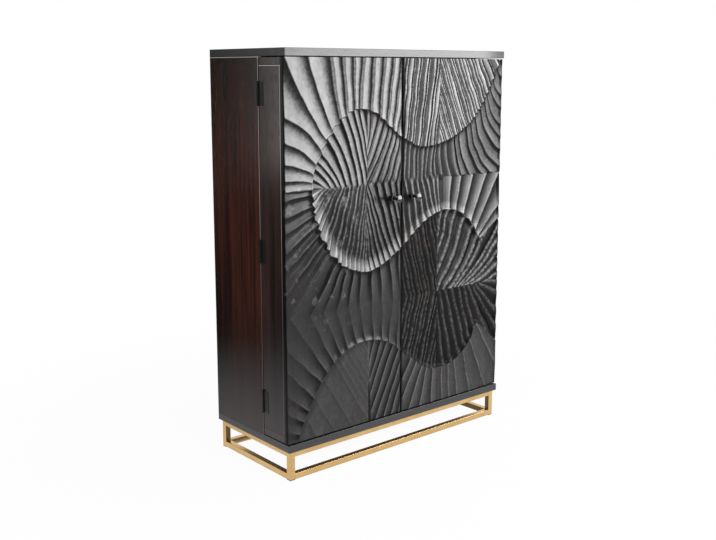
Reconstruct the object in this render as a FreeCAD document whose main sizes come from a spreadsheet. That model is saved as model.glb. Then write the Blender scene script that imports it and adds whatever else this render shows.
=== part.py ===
"""Bar armoire: a wooden carcass on a square-tube base, with two deep box doors on butt hinges.

Millimetres. +Z is up, the doors face -Y, and the origin is on the floor under the middle of the whole
object's box, knobs and hinge knuckles included.
"""

import FreeCAD, Part

import os
import re

# Driving dimensions
SIZES = {
    # carcass
    "width": 1000,
    "depth": 427,
    "height": 1400,
    "base_height": 100,
    "board_thickness": 25,
    "side_thickness": 22,
    "back_thickness": 8,
    "back_inset": 4,
    "edge_ease": 1,
    # doors
    "door_setback": 6,
    "door_depth": 134,
    "door_front_thickness": 20,
    "door_board_thickness": 24,
    "door_side_thickness": 18,
    "door_end_gap": 3,
    "door_meeting_gap": 3,
    "door_rear_gap": 3,
    "door_shelf_thickness": 15,
    "door_shelf_setback": 8,
    "door_shelf_spacing": 392,
    # guard rails in the doors
    "rail_radius": 4,
    "rail_collar_radius": 8,
    "rail_collar_thickness": 4,
    "rail_height": 65,
    "rail_setback": 22,
    # shelves and racks in the carcass
    "shelf_thickness": 20,
    "shelf_setback": 10,
    "divider_thickness": 18,
    "shelf_play": 1,
    "upper_shelf_height": 390,
    "lower_shelf_height": 230,
    "pin_radius": 3,
    "pin_length": 20,
    "pin_sink": 11,
    "pin_inset": 40,
    "rack_thickness": 12,
    "rack_play": 0.3,
    "rack_setback": 20,
    "stemware_count": 5,
    "stemware_pitch": 110,
    "stemware_web_width": 14,
    "stemware_web_height": 26,
    "stemware_flange_width": 58,
    "stemware_flange_thickness": 8,
    "stemware_setback": 16,
    # butt hinges
    "hinge_height": 76,
    "hinge_from_end": 79,
    "knuckle_radius": 4,
    "knuckle_clearance": 0.3,
    "knuckle_gap": 0.4,
    "hinge_pin_radius": 2.5,
    "hinge_pin_clearance": 0.05,
    "hinge_pin_head_height": 2,
    "leaf_thickness": 1.5,
    "leaf_width": 21,
    "leaf_screw_radius": 1.75,
    "leaf_screw_head_radius": 3.4,
    "leaf_screw_head_height": 0.9,
    "leaf_screw_length": 13,
    "leaf_screw_pitch": 26,
    # knobs
    "knob_from_middle": 46,
    "knob_height": 900,
    "knob_length": 35,
    "knob_shank_radius": 5,
    "knob_shank_sink": 9,
    "knob_head_radius": 14,
    "knob_head_half_height": 4.5,
    "knob_neck_radius": 9,
    "knob_neck_height": 8,
    "knob_collar_radius": 8,
    "knob_collar_height": 3,
    "knob_screw_radius": 2,
    "knob_screw_clearance": 0.05,
    "knob_screw_reach": 12,
    "knob_screw_head_radius": 4.5,
    "knob_screw_head_height": 3,
    # magnetic catches
    "catch_width": 76,
    "catch_play": 0.5,
    "catch_height": 18,
    "catch_air_gap": 0.3,
    "strike_width": 30,
    "strike_height": 15,
    "strike_thickness": 1.2,
    "strike_from_edge": 4,
    # base frame
    "tube_size": 20,
    "tube_wall": 2,
    "tube_ease": 0.8,
    "base_inset": 10,
    "glide_thickness": 1.5,
    "glide_plug_height": 12,
    "glide_plug_play": 0.2,
    "base_screw_radius": 2.5,
    "base_screw_head_radius": 5,
    "base_screw_head_height": 3,
    "base_screw_bite": 16,
    "base_screw_spread": 600,
}

# A door has a hinge at each of these steps from its middle, and screws in a leaf are spread the same way
HINGE_STEPS = (-1, 0, 1)
SCREW_ROWS = (-1, 0, 1)
KNUCKLES = 5
SIDES = ("left", "right")

# Faces and lengths that follow from the driving dimensions
DERIVED = {
    # height
    "carcass_floor": "base_height + board_thickness",
    "carcass_ceiling": "height - board_thickness",
    "door_low": "carcass_floor + door_end_gap",
    "door_high": "carcass_ceiling - door_end_gap",
    "door_box_low": "door_low + door_board_thickness",
    "door_box_high": "door_high - door_board_thickness",
    "middle_height": "(carcass_floor + carcass_ceiling) / 2",
    # depth, front to back
    "knob_stand_out": "knob_length - door_setback",
    "front_plane": "(knob_stand_out - depth) / 2",
    "back_plane": "front_plane + depth",
    "door_front": "front_plane + door_setback",
    "door_box_front": "door_front + door_front_thickness",
    "door_rear": "door_front + door_depth",
    "carcass_front": "door_rear + door_rear_gap",
    "back_front": "back_plane - back_inset - back_thickness",
    "shelf_front": "carcass_front + shelf_setback",
    # width, from the middle outwards
    "half_width": "width / 2",
    "inner_half": "half_width - side_thickness",
    "door_inner": "door_meeting_gap / 2",
    "door_bay_inner": "door_inner + door_side_thickness",
    "door_bay_outer": "half_width - door_side_thickness",
    "divider_half": "divider_thickness / 2",
    # the wine rack's bay is square, so the serving shelf lies one bay's width above the floor
    "low_bay": "inner_half - divider_half",
    "serving_low": "carcass_floor + low_bay",
    "serving_high": "serving_low + shelf_thickness",
    "upper_shelf_low": "serving_high + upper_shelf_height",
    "lower_shelf_low": "carcass_floor + lower_shelf_height",
    "rack_length": "sqrt(2) * low_bay - rack_thickness - 2 * rack_play",
    "rack_depth": "back_front - shelf_front - rack_setback",
    "rack_middle": "divider_half + low_bay / 2",
    "rack_middle_height": "carcass_floor + low_bay / 2",
    # outer hinges stand a set way from the ends of the carcass sides, and their axis is just outside the
    # side face and level with the carcass leaf's front
    "hinge_spread": "(carcass_ceiling - carcass_floor - hinge_height) / 2 - hinge_from_end",
    "axis_out": "half_width + knuckle_clearance + knuckle_radius",
    "axis_depth": "carcass_front - leaf_thickness",
    "knuckle_height": f"hinge_height / {KNUCKLES}",
    "leaf_start": "knuckle_radius + knuckle_gap",
    "leaf_reach": "leaf_start + leaf_width",
    "leaf_screw_reach": "leaf_start + leaf_width / 2",
    # base frame
    "base_half": "half_width - base_inset",
    "base_front": "front_plane + base_inset",
    "base_back": "back_plane - base_inset",
    "top_rail_low": "base_height - tube_size",
    "bottom_rail_high": "glide_thickness + tube_size",
}

doc = FreeCAD.newDocument("bar_armoire")
sheet = doc.addObject("Spreadsheet::Sheet", "sizes")
for row, (name, value) in enumerate(SIZES.items(), start=1):
    sheet.set(f"A{row}", name)
    sheet.set(f"B{row}", str(value))
    sheet.setAlias(f"B{row}", name)
doc.recompute()

nodes = []


def formula(text):
    """Spell a formula out in the sheet's cells: width / 2 becomes sizes.width / 2."""

    def spelled(found):
        word = found.group()
        if word in DERIVED:
            return "(" + formula(DERIVED[word]) + ")"
        return "sizes." + word if word in SIZES else word

    return re.sub(r"[a-z][a-z_]*", spelled, text)


def bind(thing, prop, text):
    """Tie one property of an object to a formula."""
    thing.setExpression(prop, formula(text))


def place(thing, x, y, z, turn=None):
    """Put an object's own origin at a point, turned about an axis if one is given."""
    if turn:
        axis, degrees = turn
        thing.Placement.Rotation = FreeCAD.Rotation(FreeCAD.Vector(*axis), degrees)
    for letter, text in zip("xyz", (x, y, z)):
        bind(thing, f"Placement.Base.{letter}", text)
    return thing


def mirrored(side, low, high):
    """A stretch of X, given for the right-hand side, on the side that is asked for."""
    return (low, high) if side == "right" else (f"-({high})", f"-({low})")


def signed(side, out):
    """A distance out from the middle as an X on one side."""
    return out if side == "right" else f"-({out})"


def node(thing, label):
    """Name an object as a sub-part, which gives its file's name."""
    thing.Label = label
    nodes.append(thing)
    return thing


def block(kind, owner, x, y, z):
    """A box between its low and high faces on each axis, in a body or in the document."""
    box = owner.newObject(kind, "block") if owner else doc.addObject(kind, "block")
    for prop, (low, high) in zip(("Length", "Width", "Height"), (x, y, z)):
        bind(box, prop, f"{high} - ({low})")
    return place(box, x[0], y[0], z[0])


def ease_edges(body, base, radius):
    """Round every edge of a body's solid a little."""
    eased = body.newObject("PartDesign::Fillet", "eased_edges")
    eased.Base = (base, ["Edge1"])
    eased.UseAllEdges = True
    bind(eased, "Radius", radius)
    body.Tip = eased
    return eased


def board(label, x, y, z):
    """A board with eased edges, as its own body."""
    body = doc.addObject("PartDesign::Body", label)
    ease_edges(body, block("PartDesign::AdditiveBox", body, x, y, z), "edge_ease")
    return node(body, label)


def rod(kind, owner, radius, height, x, y, z, turn=None):
    """A cylinder from a point along Z, or along another axis when turned."""
    shape = owner.newObject(kind, "rod") if owner else doc.addObject(kind, "rod")
    bind(shape, "Radius", radius)
    bind(shape, "Height", height)
    return place(shape, x, y, z, turn)


def joined(members):
    """One solid made of solids that run into each other."""
    whole = doc.addObject("Part::MultiFuse", "joined")
    whole.Shapes = members
    return whole


def cut(base, tools):
    """A solid with the room for others taken out of it."""
    rest = doc.addObject("Part::Cut", "cut")
    rest.Base = base
    rest.Tool = joined(tools) if len(tools) > 1 else tools[0]
    return rest


def group(label, members):
    """Identical separate solids that share one node."""
    together = doc.addObject("Part::Compound", label)
    together.Links = members
    return node(together, label)


def screw(radius, head_radius, head_height, length, at, turn):
    """A screw whose head rests on a face at a point, with its shank going in along the turned Z."""
    x, y, z = at
    axis, degrees, outward = turn
    ox, oy, oz = (f"({step}) * {head_height}" for step in outward)
    head = rod("Part::Cylinder", None, head_radius, head_height,
               f"{x} + {ox}", f"{y} + {oy}", f"{z} + {oz}", (axis, degrees))
    shank = rod("Part::Cylinder", None, radius, length, x, y, z, (axis, degrees))
    return joined([head, shank])


# Carcass boards
def carcass():
    full = ("-half_width", "half_width")
    deep = ("front_plane", "back_plane")
    between = ("carcass_floor", "carcass_ceiling")
    board("top_board", full, deep, ("carcass_ceiling", "height"))
    board("bottom_board", full, deep, ("base_height", "carcass_floor"))
    for side in SIDES:
        across = mirrored(side, "inner_half", "half_width")
        board(f"{side}_side", across, ("carcass_front", "back_plane"), between)
    board("back_panel", ("-inner_half", "inner_half"), ("back_front", "back_front + back_thickness"), between)


# Shelves, divider and racks inside the carcass
def shelves():
    inside = ("shelf_front", "back_front")
    board("serving_shelf", ("-inner_half", "inner_half"), inside, ("serving_low", "serving_high"))
    board("centre_divider", ("-divider_half", "divider_half"), inside, ("carcass_floor", "serving_low"))
    board("upper_shelf", ("-inner_half + shelf_play", "inner_half - shelf_play"), inside,
          ("upper_shelf_low", "upper_shelf_low + shelf_thickness"))
    board("lower_shelf", ("-inner_half + shelf_play", "-divider_half - shelf_play"), inside,
          ("lower_shelf_low", "lower_shelf_low + shelf_thickness"))


def shelf_pins():
    """Pins sunk in the uprights, with a shelf resting on top of each."""
    pins = []
    uprights = (
        ("-inner_half - pin_sink", "upper_shelf_low"),
        ("inner_half + pin_sink - pin_length", "upper_shelf_low"),
        ("-inner_half - pin_sink", "lower_shelf_low"),
        ("-divider_half + pin_sink - pin_length", "lower_shelf_low"),
    )
    for start, under in uprights:
        for depth_place in ("shelf_front + pin_inset", "back_front - pin_inset"):
            pins.append(rod("Part::Cylinder", None, "pin_radius", "pin_length",
                            start, depth_place, f"{under} - pin_radius", ((0, 1, 0), 90)))
    group("shelf_pins", pins)


def wine_rack():
    """Two boards halved together in a square bay, each notched half its depth at the crossing."""
    notch_half = "rack_thickness / 2 + rack_play"
    notch = (f"rack_length / 2 - ({notch_half})", f"rack_length / 2 + {notch_half}")
    halves = {
        "rising": (45, ("0", "rack_depth / 2 + rack_play")),
        "falling": (-45, ("rack_depth / 2 - rack_play", "rack_depth")),
    }
    for name, (degrees, notched) in halves.items():
        body = doc.addObject("PartDesign::Body", f"wine_rack_{name}")
        whole = ("0", "rack_length")
        thick = ("-rack_thickness / 2", "rack_thickness / 2")
        block("PartDesign::AdditiveBox", body, whole, ("0", "rack_depth"), thick)
        body.Tip = block("PartDesign::SubtractiveBox", body, notch, notched, thick)
        sign = 1 if degrees > 0 else -1
        place(body, "rack_middle - rack_length / 2 / sqrt(2)", "shelf_front + rack_setback",
              f"rack_middle_height - ({sign}) * rack_length / 2 / sqrt(2)", ((0, -1, 0), degrees))
        node(body, f"wine_rack_{name}")


def stemware_rails():
    """Upside-down T rails under the top board, in which glasses hang by their feet."""
    rails = []
    run = ("shelf_front + stemware_setback", "back_front")
    for number in range(SIZES["stemware_count"]):
        middle = f"({number} - (stemware_count - 1) / 2) * stemware_pitch"
        web = block("Part::Box", None,
                    (f"{middle} - stemware_web_width / 2", f"{middle} + stemware_web_width / 2"), run,
                    ("carcass_ceiling - stemware_web_height", "carcass_ceiling"))
        wide = (f"{middle} - stemware_flange_width / 2", f"{middle} + stemware_flange_width / 2")
        flange = block("Part::Box", None, wide, run,
                       ("carcass_ceiling - stemware_web_height - stemware_flange_thickness",
                        "carcass_ceiling - stemware_web_height"))
        rails.append(joined([web, flange]))
    group("stemware_rails", rails)


# Catches at the top and bottom of the door opening, and a strike plate on each door opposite them
def catches():
    front = "door_rear + strike_thickness + catch_air_gap"
    deep = (front, "shelf_front - catch_play")
    wide = ("-catch_width / 2", "catch_width / 2")
    heights = (("carcass_floor", "carcass_floor + catch_height"),
               ("carcass_ceiling - catch_height", "carcass_ceiling"))
    group("magnetic_catches", [block("Part::Box", None, wide, deep, z) for z in heights])
    for side in SIDES:
        edge = "door_inner + strike_from_edge"
        across = mirrored(side, edge, f"{edge} + strike_width")
        thick = ("door_rear", "door_rear + strike_thickness")
        plates = (("door_low + strike_from_edge", "door_low + strike_from_edge + strike_height"),
                  ("door_high - strike_from_edge - strike_height", "door_high - strike_from_edge"))
        group(f"{side}_door_strikes", [block("Part::Box", None, across, thick, z) for z in plates])


# Door boxes, open at the back
def door(side):
    full = mirrored(side, "door_inner", "half_width")
    bay = mirrored(side, "door_bay_inner", "door_bay_outer")
    deep = ("door_box_front", "door_rear")
    upright = ("door_box_low", "door_box_high")
    shelf_deep = ("door_box_front", "door_rear - door_shelf_setback")
    board(f"{side}_door_outer_side", mirrored(side, "door_bay_outer", "half_width"), deep, upright)
    board(f"{side}_door_inner_side", mirrored(side, "door_inner", "door_bay_inner"), deep, upright)
    board(f"{side}_door_top", full, deep, ("door_box_high", "door_high"))
    board(f"{side}_door_bottom", full, deep, ("door_low", "door_box_low"))
    floors = ["door_box_low"]
    for number, name in enumerate(("low", "high"), start=1):
        low = f"door_box_low + {number} * door_shelf_spacing"
        board(f"{side}_door_{name}_shelf", bay, shelf_deep, (low, f"{low} + door_shelf_thickness"))
        floors.append(f"{low} + door_shelf_thickness")
    group(f"{side}_door_rails", [guard_rail(bay, floor) for floor in floors])


def guard_rail(bay, floor):
    """A round rail across a door's bay, with a collar against each side board."""
    low, high = bay
    axis = ("door_rear - rail_setback", f"{floor} + rail_height", ((0, 1, 0), 90))
    bar = rod("Part::Cylinder", None, "rail_radius", f"{high} - ({low})", low, *axis)
    first = rod("Part::Cylinder", None, "rail_collar_radius", "rail_collar_thickness", low, *axis)
    last = rod("Part::Cylinder", None, "rail_collar_radius", "rail_collar_thickness",
               f"{high} - rail_collar_thickness", *axis)
    return joined([bar, first, last])


def door_front(side):
    """The front that carries the carving, with a seat for the knob's shank and a hole for its screw."""
    label = f"{side}_door_front"
    body = doc.addObject("PartDesign::Body", label)
    panel = block("PartDesign::AdditiveBox", body, mirrored(side, "door_inner", "half_width"),
                  ("door_front", "door_box_front"), ("door_low", "door_high"))
    ease_edges(body, panel, "edge_ease")
    backwards = ((1, 0, 0), -90)
    across = signed(side, "knob_from_middle")
    rod("PartDesign::SubtractiveCylinder", body, "knob_shank_radius", "knob_shank_sink",
        across, "door_front", "knob_height", backwards)
    body.Tip = rod("PartDesign::SubtractiveCylinder", body, "knob_screw_radius + knob_screw_clearance",
                   "door_front_thickness", across, "door_front", "knob_height", backwards)
    node(body, label)


def knob(side):
    """A button knob: shank in the door, collar on it, flared neck, low domed head, and a screw hole."""
    label = f"{side}_knob"
    body = doc.addObject("PartDesign::Body", label)
    rod("PartDesign::AdditiveCylinder", body, "knob_shank_radius",
        "knob_shank_sink + knob_length - knob_head_half_height", "0", "0", "-knob_shank_sink")
    rod("PartDesign::AdditiveCylinder", body, "knob_collar_radius", "knob_collar_height", "0", "0", "0")
    neck = body.newObject("PartDesign::AdditiveCone", "neck")
    bind(neck, "Radius1", "knob_shank_radius")
    bind(neck, "Radius2", "knob_neck_radius")
    bind(neck, "Height", "knob_neck_height")
    place(neck, "0", "0", "knob_length - knob_head_half_height - knob_neck_height")
    head = body.newObject("PartDesign::AdditiveEllipsoid", "head")
    bind(head, "Radius1", "knob_head_half_height")
    bind(head, "Radius2", "knob_head_radius")
    bind(head, "Radius3", "knob_head_radius")
    place(head, "0", "0", "knob_length - knob_head_half_height")
    body.Tip = rod("PartDesign::SubtractiveCylinder", body, "knob_screw_radius + knob_screw_clearance",
                   "knob_screw_reach", "0", "0", "-knob_shank_sink")
    place(body, signed(side, "knob_from_middle"), "door_front", "knob_height", ((1, 0, 0), 90))
    node(body, label)


def knob_screw(side):
    """A screw from inside the door, through its front and into the knob's shank."""
    length = "door_front_thickness - knob_shank_sink + knob_screw_reach"
    at = (signed(side, "knob_from_middle"), "door_box_front", "knob_height")
    forwards = ((1, 0, 0), 90, (0, 1, 0))
    node(screw("knob_screw_radius", "knob_screw_head_radius", "knob_screw_head_height", length, at, forwards),
         f"{side}_knob_screw")


# Butt hinges: three a door, each with five knuckles shared between two leaves and one pin
def hinge_low(step):
    """The foot of the hinge that is step spreads above the middle one."""
    return f"middle_height + ({step}) * hinge_spread - hinge_height / 2"


def knuckles(side, step, numbers, tab_x, tab_y):
    """Some of a hinge's knuckles, each with the tab that carries it to its leaf."""
    made = []
    for number in numbers:
        low = f"{hinge_low(step)} + {number} * knuckle_height + knuckle_gap / 2"
        tall = "knuckle_height - knuckle_gap"
        axis = (signed(side, "axis_out"), "axis_depth", low)
        made.append(rod("Part::Cylinder", None, "knuckle_radius", tall, *axis))
        made.append(block("Part::Box", None, tab_x, tab_y, (low, f"{low} + {tall}")))
    return made


def leaf_screw_heights(step):
    """Three screw heights on a leaf, about its middle."""
    middle = f"middle_height + ({step}) * hinge_spread"
    return [f"{middle} + ({row}) * leaf_screw_pitch" for row in SCREW_ROWS]


def along_axis(side, step, radius):
    """A cylinder on a hinge's axis, as long as the hinge is high."""
    foot = (signed(side, "axis_out"), "axis_depth", hinge_low(step))
    return rod("Part::Cylinder", None, radius, "hinge_height", *foot)


def frame_leaf(side, step):
    """The leaf on the front edge of the carcass side, with the outer and middle knuckles."""
    tall = (hinge_low(step), f"{hinge_low(step)} + hinge_height")
    thick = ("axis_depth", "carcass_front")
    across = mirrored(side, "axis_out - leaf_reach", "axis_out - leaf_start")
    plate = block("Part::Box", None, across, thick, tall)
    tabs = knuckles(side, step, (0, 2, 4), mirrored(side, "axis_out - leaf_start", "axis_out"), thick)
    tools = [along_axis(side, step, "hinge_pin_radius")]
    for z in leaf_screw_heights(step):
        tools.append(rod("Part::Cylinder", None, "leaf_screw_radius", "leaf_thickness",
                         signed(side, "axis_out - leaf_screw_reach"), "axis_depth", z, ((1, 0, 0), -90)))
    return cut(joined([plate, *tabs]), tools)


def door_leaf(side, step):
    """The leaf on the outer face of the door, with the two knuckles between."""
    tall = (hinge_low(step), f"{hinge_low(step)} + hinge_height")
    thick = mirrored(side, "half_width", "half_width + leaf_thickness")
    plate = block("Part::Box", None, thick, ("axis_depth - leaf_reach", "axis_depth - leaf_start"), tall)
    tabs = knuckles(side, step, (1, 3), thick, ("axis_depth - leaf_start", "axis_depth"))
    tools = [along_axis(side, step, "hinge_pin_radius + hinge_pin_clearance")]
    for z in leaf_screw_heights(step):
        tools.append(rod("Part::Cylinder", None, "leaf_screw_radius", "leaf_thickness",
                         thick[0], "axis_depth - leaf_screw_reach", z, ((0, 1, 0), 90)))
    return cut(joined([plate, *tabs]), tools)


def hinge_pin(side, step):
    """A pin with a button head that rests on the top knuckle."""
    shank = along_axis(side, step, "hinge_pin_radius")
    head = rod("Part::Cylinder", None, "knuckle_radius", "hinge_pin_head_height", signed(side, "axis_out"),
               "axis_depth", f"{hinge_low(step)} + hinge_height")
    return joined([shank, head])


def frame_leaf_screws(side, step):
    """Screws through the carcass leaf, into the edge of the carcass side."""
    across = signed(side, "axis_out - leaf_screw_reach")
    backwards = ((1, 0, 0), -90, (0, -1, 0))
    return [leaf_screw((across, "axis_depth", z), backwards) for z in leaf_screw_heights(step)]


def door_leaf_screws(side, step):
    """Screws through the door leaf, into the door's outer side board."""
    face = signed(side, "half_width + leaf_thickness")
    inward = ((0, 1, 0), -90, (1, 0, 0)) if side == "right" else ((0, 1, 0), 90, (-1, 0, 0))
    return [leaf_screw((face, "axis_depth - leaf_screw_reach", z), inward) for z in leaf_screw_heights(step)]


def leaf_screw(at, turn):
    """One of a leaf's screws."""
    return screw("leaf_screw_radius", "leaf_screw_head_radius", "leaf_screw_head_height",
                 "leaf_screw_length", at, turn)


def hinges():
    everywhere = [(side, step) for side in SIDES for step in HINGE_STEPS]
    group("hinge_frame_leaves", [frame_leaf(*spot) for spot in everywhere])
    group("hinge_pins", [hinge_pin(*spot) for spot in everywhere])
    group("hinge_frame_screws", [one for spot in everywhere for one in frame_leaf_screws(*spot)])
    for side in SIDES:
        group(f"{side}_hinge_door_leaves", [door_leaf(side, step) for step in HINGE_STEPS])
        screws = [one for step in HINGE_STEPS for one in door_leaf_screws(side, step)]
        group(f"{side}_hinge_door_screws", screws)


# Base frame of square tube: posts at the corners, rails between them at the top and at the bottom
def tube(label, bounds, along):
    """A square tube, hollow along one axis."""
    body = doc.addObject("PartDesign::Body", label)
    ease_edges(body, block("PartDesign::AdditiveBox", body, *bounds), "tube_ease")
    bore = [pair if axis == along else (f"{pair[0]} + tube_wall", f"{pair[1]} - tube_wall")
            for axis, pair in zip("xyz", bounds)]
    body.Tip = block("PartDesign::SubtractiveBox", body, *bore)
    node(body, label)


def base_frame():
    ends = {"front": ("base_front", "base_front + tube_size"), "back": ("base_back - tube_size", "base_back")}
    sides = {side: mirrored(side, "base_half - tube_size", "base_half") for side in SIDES}
    levels = {"top": ("top_rail_low", "base_height"), "bottom": ("glide_thickness", "bottom_rail_high")}
    glides = []
    for end, y in ends.items():
        for side, x in sides.items():
            tube(f"base_{end}_{side}_post", (x, y, ("glide_thickness", "base_height")), "z")
            glides.append(glide(x, y))
    between_sides = ("-base_half + tube_size", "base_half - tube_size")
    between_ends = ("base_front + tube_size", "base_back - tube_size")
    for level, z in levels.items():
        for end, y in ends.items():
            tube(f"base_{end}_{level}_rail", (between_sides, y, z), "x")
        for side, x in sides.items():
            tube(f"base_{side}_{level}_rail", (x, between_ends, z), "y")
    group("floor_glides", glides)


def glide(x, y):
    """A foot under a post, with a plug that sits in the tube."""
    inner = "tube_wall + glide_plug_play"
    foot = block("Part::Box", None, x, y, ("0", "glide_thickness"))
    plug = block("Part::Box", None, (f"{x[0]} + {inner}", f"{x[1]} - ({inner})"),
                 (f"{y[0]} + {inner}", f"{y[1]} - ({inner})"),
                 ("glide_thickness", "glide_thickness + glide_plug_height"))
    return joined([foot, plug])


def base_screws():
    """Screws from under the top rails, up into the bottom board."""
    upwards = ((0, 0, 1), 0, (0, 0, -1))
    made = []
    for y in ("base_front + tube_size / 2", "base_back - tube_size / 2"):
        for x in ("-base_screw_spread / 2", "0", "base_screw_spread / 2"):
            made.append(screw("base_screw_radius", "base_screw_head_radius", "base_screw_head_height",
                              "tube_size + base_screw_bite", (x, y, "top_rail_low"), upwards))
    group("base_screws", made)


carcass()
shelves()
shelf_pins()
wine_rack()
stemware_rails()
catches()
for side in SIDES:
    door(side)
    door_front(side)
    knob(side)
    knob_screw(side)
hinges()
base_frame()
base_screws()
doc.recompute()

failed = [thing.Label for thing in doc.Objects if {"Invalid", "Error"} & set(thing.State)]
failed += [thing.Label for thing in nodes if thing.Shape.isNull() or not thing.Shape.isValid()]
if failed:
    raise RuntimeError("these did not build: " + ", ".join(failed))

os.makedirs("parts", exist_ok=True)
for thing in nodes:
    thing.Shape.exportStep(f"parts/{thing.Label}.step")
print(len(nodes), "sub-parts,", sum(len(thing.Shape.Solids) for thing in nodes), "solids")
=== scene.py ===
# %% [markdown]
# A bar armoire: a black carved front on two deep doors, dark wooden sides and an open base of brass-coloured
# tube. The imported model already has every board, hinge and tube at its real size, so this script never
# moves one of them. It adds what the photograph shows beyond the sizes: the carving, turned knobs and the
# finish of every surface. Loading the model first gives one shared frame in metres.

# %% Load the imported model
from math import radians

import bpy
import numpy as np
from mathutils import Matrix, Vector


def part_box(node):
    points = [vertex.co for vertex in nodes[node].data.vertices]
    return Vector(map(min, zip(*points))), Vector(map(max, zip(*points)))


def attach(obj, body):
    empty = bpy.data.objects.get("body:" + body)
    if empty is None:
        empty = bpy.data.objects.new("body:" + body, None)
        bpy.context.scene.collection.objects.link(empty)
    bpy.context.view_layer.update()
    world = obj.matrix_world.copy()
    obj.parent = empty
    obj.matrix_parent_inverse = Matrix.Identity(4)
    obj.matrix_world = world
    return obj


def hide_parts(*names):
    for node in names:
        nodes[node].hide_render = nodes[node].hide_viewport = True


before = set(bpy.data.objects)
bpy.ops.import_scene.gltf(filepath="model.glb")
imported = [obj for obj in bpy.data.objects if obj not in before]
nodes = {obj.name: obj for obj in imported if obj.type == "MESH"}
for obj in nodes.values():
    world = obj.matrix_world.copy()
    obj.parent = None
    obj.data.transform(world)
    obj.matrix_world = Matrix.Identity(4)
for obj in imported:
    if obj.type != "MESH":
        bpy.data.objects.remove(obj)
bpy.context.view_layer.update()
MM = 0.001

# %% [markdown]
# Almost every cell below adds shader nodes. Making one by hand takes a line for each socket, so small
# helpers take the socket values, or the sockets they are linked to, in one dictionary. Three more place
# the nodes that come up most: arithmetic, a value moved to another range and a mix of two colours. The
# last two use a node group and start an empty one, which is how several finishes share an effect.


# %% Helpers for shader nodes
def feed(tree, node, inputs):
    """Set a node's sockets: a value is set, and another node's socket is linked."""
    for socket, value in inputs.items():
        if isinstance(value, bpy.types.NodeSocket):
            tree.links.new(value, node.inputs[socket])
        else:
            node.inputs[socket].default_value = value


def add_node(tree, kind, inputs=None, **settings):
    """One shader node: settings are its properties, inputs its socket values or links."""
    made = tree.nodes.new(kind)
    for name, value in settings.items():
        setattr(made, name, value)
    feed(tree, made, inputs or {})
    return made


def math_node(tree, operation, *values):
    """The result socket of a Math node on one, two or three values or sockets."""
    return add_node(tree, "ShaderNodeMath", dict(enumerate(values)), operation=operation).outputs[0]


def ranged(tree, value, start, end, low=0.0, high=1.0, kind="LINEAR"):
    """Socket: a value moved from the range start to end into the range low to high, and held there."""
    sockets = {"Value": value, "From Min": start, "From Max": end, "To Min": low, "To Max": high}
    return add_node(tree, "ShaderNodeMapRange", sockets, interpolation_type=kind).outputs[0]


def colour_mix(tree, share, first, second):
    """Socket: the colour between two colours or colour sockets, by a share from 0 to 1."""
    ends = [(*colour, 1) if isinstance(colour, tuple) else colour for colour in (first, second)]
    mix = add_node(tree, "ShaderNodeMix", {"Factor": share, "A": ends[0], "B": ends[1]}, data_type="RGBA")
    return mix.outputs["Result"]


def use_group(tree, group, inputs):
    """The outputs of a node that holds a group."""
    return add_node(tree, "ShaderNodeGroup", inputs, node_tree=group).outputs


def new_group(name, inputs, outputs):
    """An empty node group, its input sockets and its output node; an input of None is a vector."""
    group = bpy.data.node_groups.new(name, "ShaderNodeTree")
    for label, value in inputs.items():
        kind = "NodeSocketVector" if value is None else "NodeSocketFloat"
        socket = group.interface.new_socket(label, in_out="INPUT", socket_type=kind)
        if value is not None:
            socket.default_value = value
    for label in outputs:
        group.interface.new_socket(label, in_out="OUTPUT", socket_type="NodeSocketFloat")
    return group, group.nodes.new("NodeGroupInput").outputs, group.nodes.new("NodeGroupOutput")


# %% [markdown]
# The photograph is a catalogue picture on pure white. A white floor lit until it clips would throw far too
# much light on a black cabinet, so the floor and the world are white only for the rays that look at them, and
# plain pale surfaces for the light that bounces. A little of the floor's real shading is kept for the camera,
# and with it the shadow under the base. In reflections the floor glows in a painted pool of light, white near
# the cabinet and dim further out, with a painted shadow under the cabinet, and the world has a white sweep
# behind it: the rest of the studio is dim, and that gives black lacquer its depth and the inner rails of the
# base their brown.

# %% Floor and background
FLOOR_HALF = 9.0
POOL_MIDDLE = (0.8, -0.95, 0.0)
POOL_NEAR, POOL_FAR = 1.75, 3.15
BASE_HALF_WIDTH, BASE_HALF_DEPTH = 0.5, 0.2
UNDER_CABINET_SHADOW = 0.18
UNDER_SOFT = 0.03
ROOM = 0.03
SHADE_SHOWN = 0.04
SHADE_NEAR, SHADE_FAR = 0.7, 2.0
WHITE = (1, 1, 1, 1)
MATT_WHITE = (0.8, 0.8, 0.8, 1)


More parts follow.
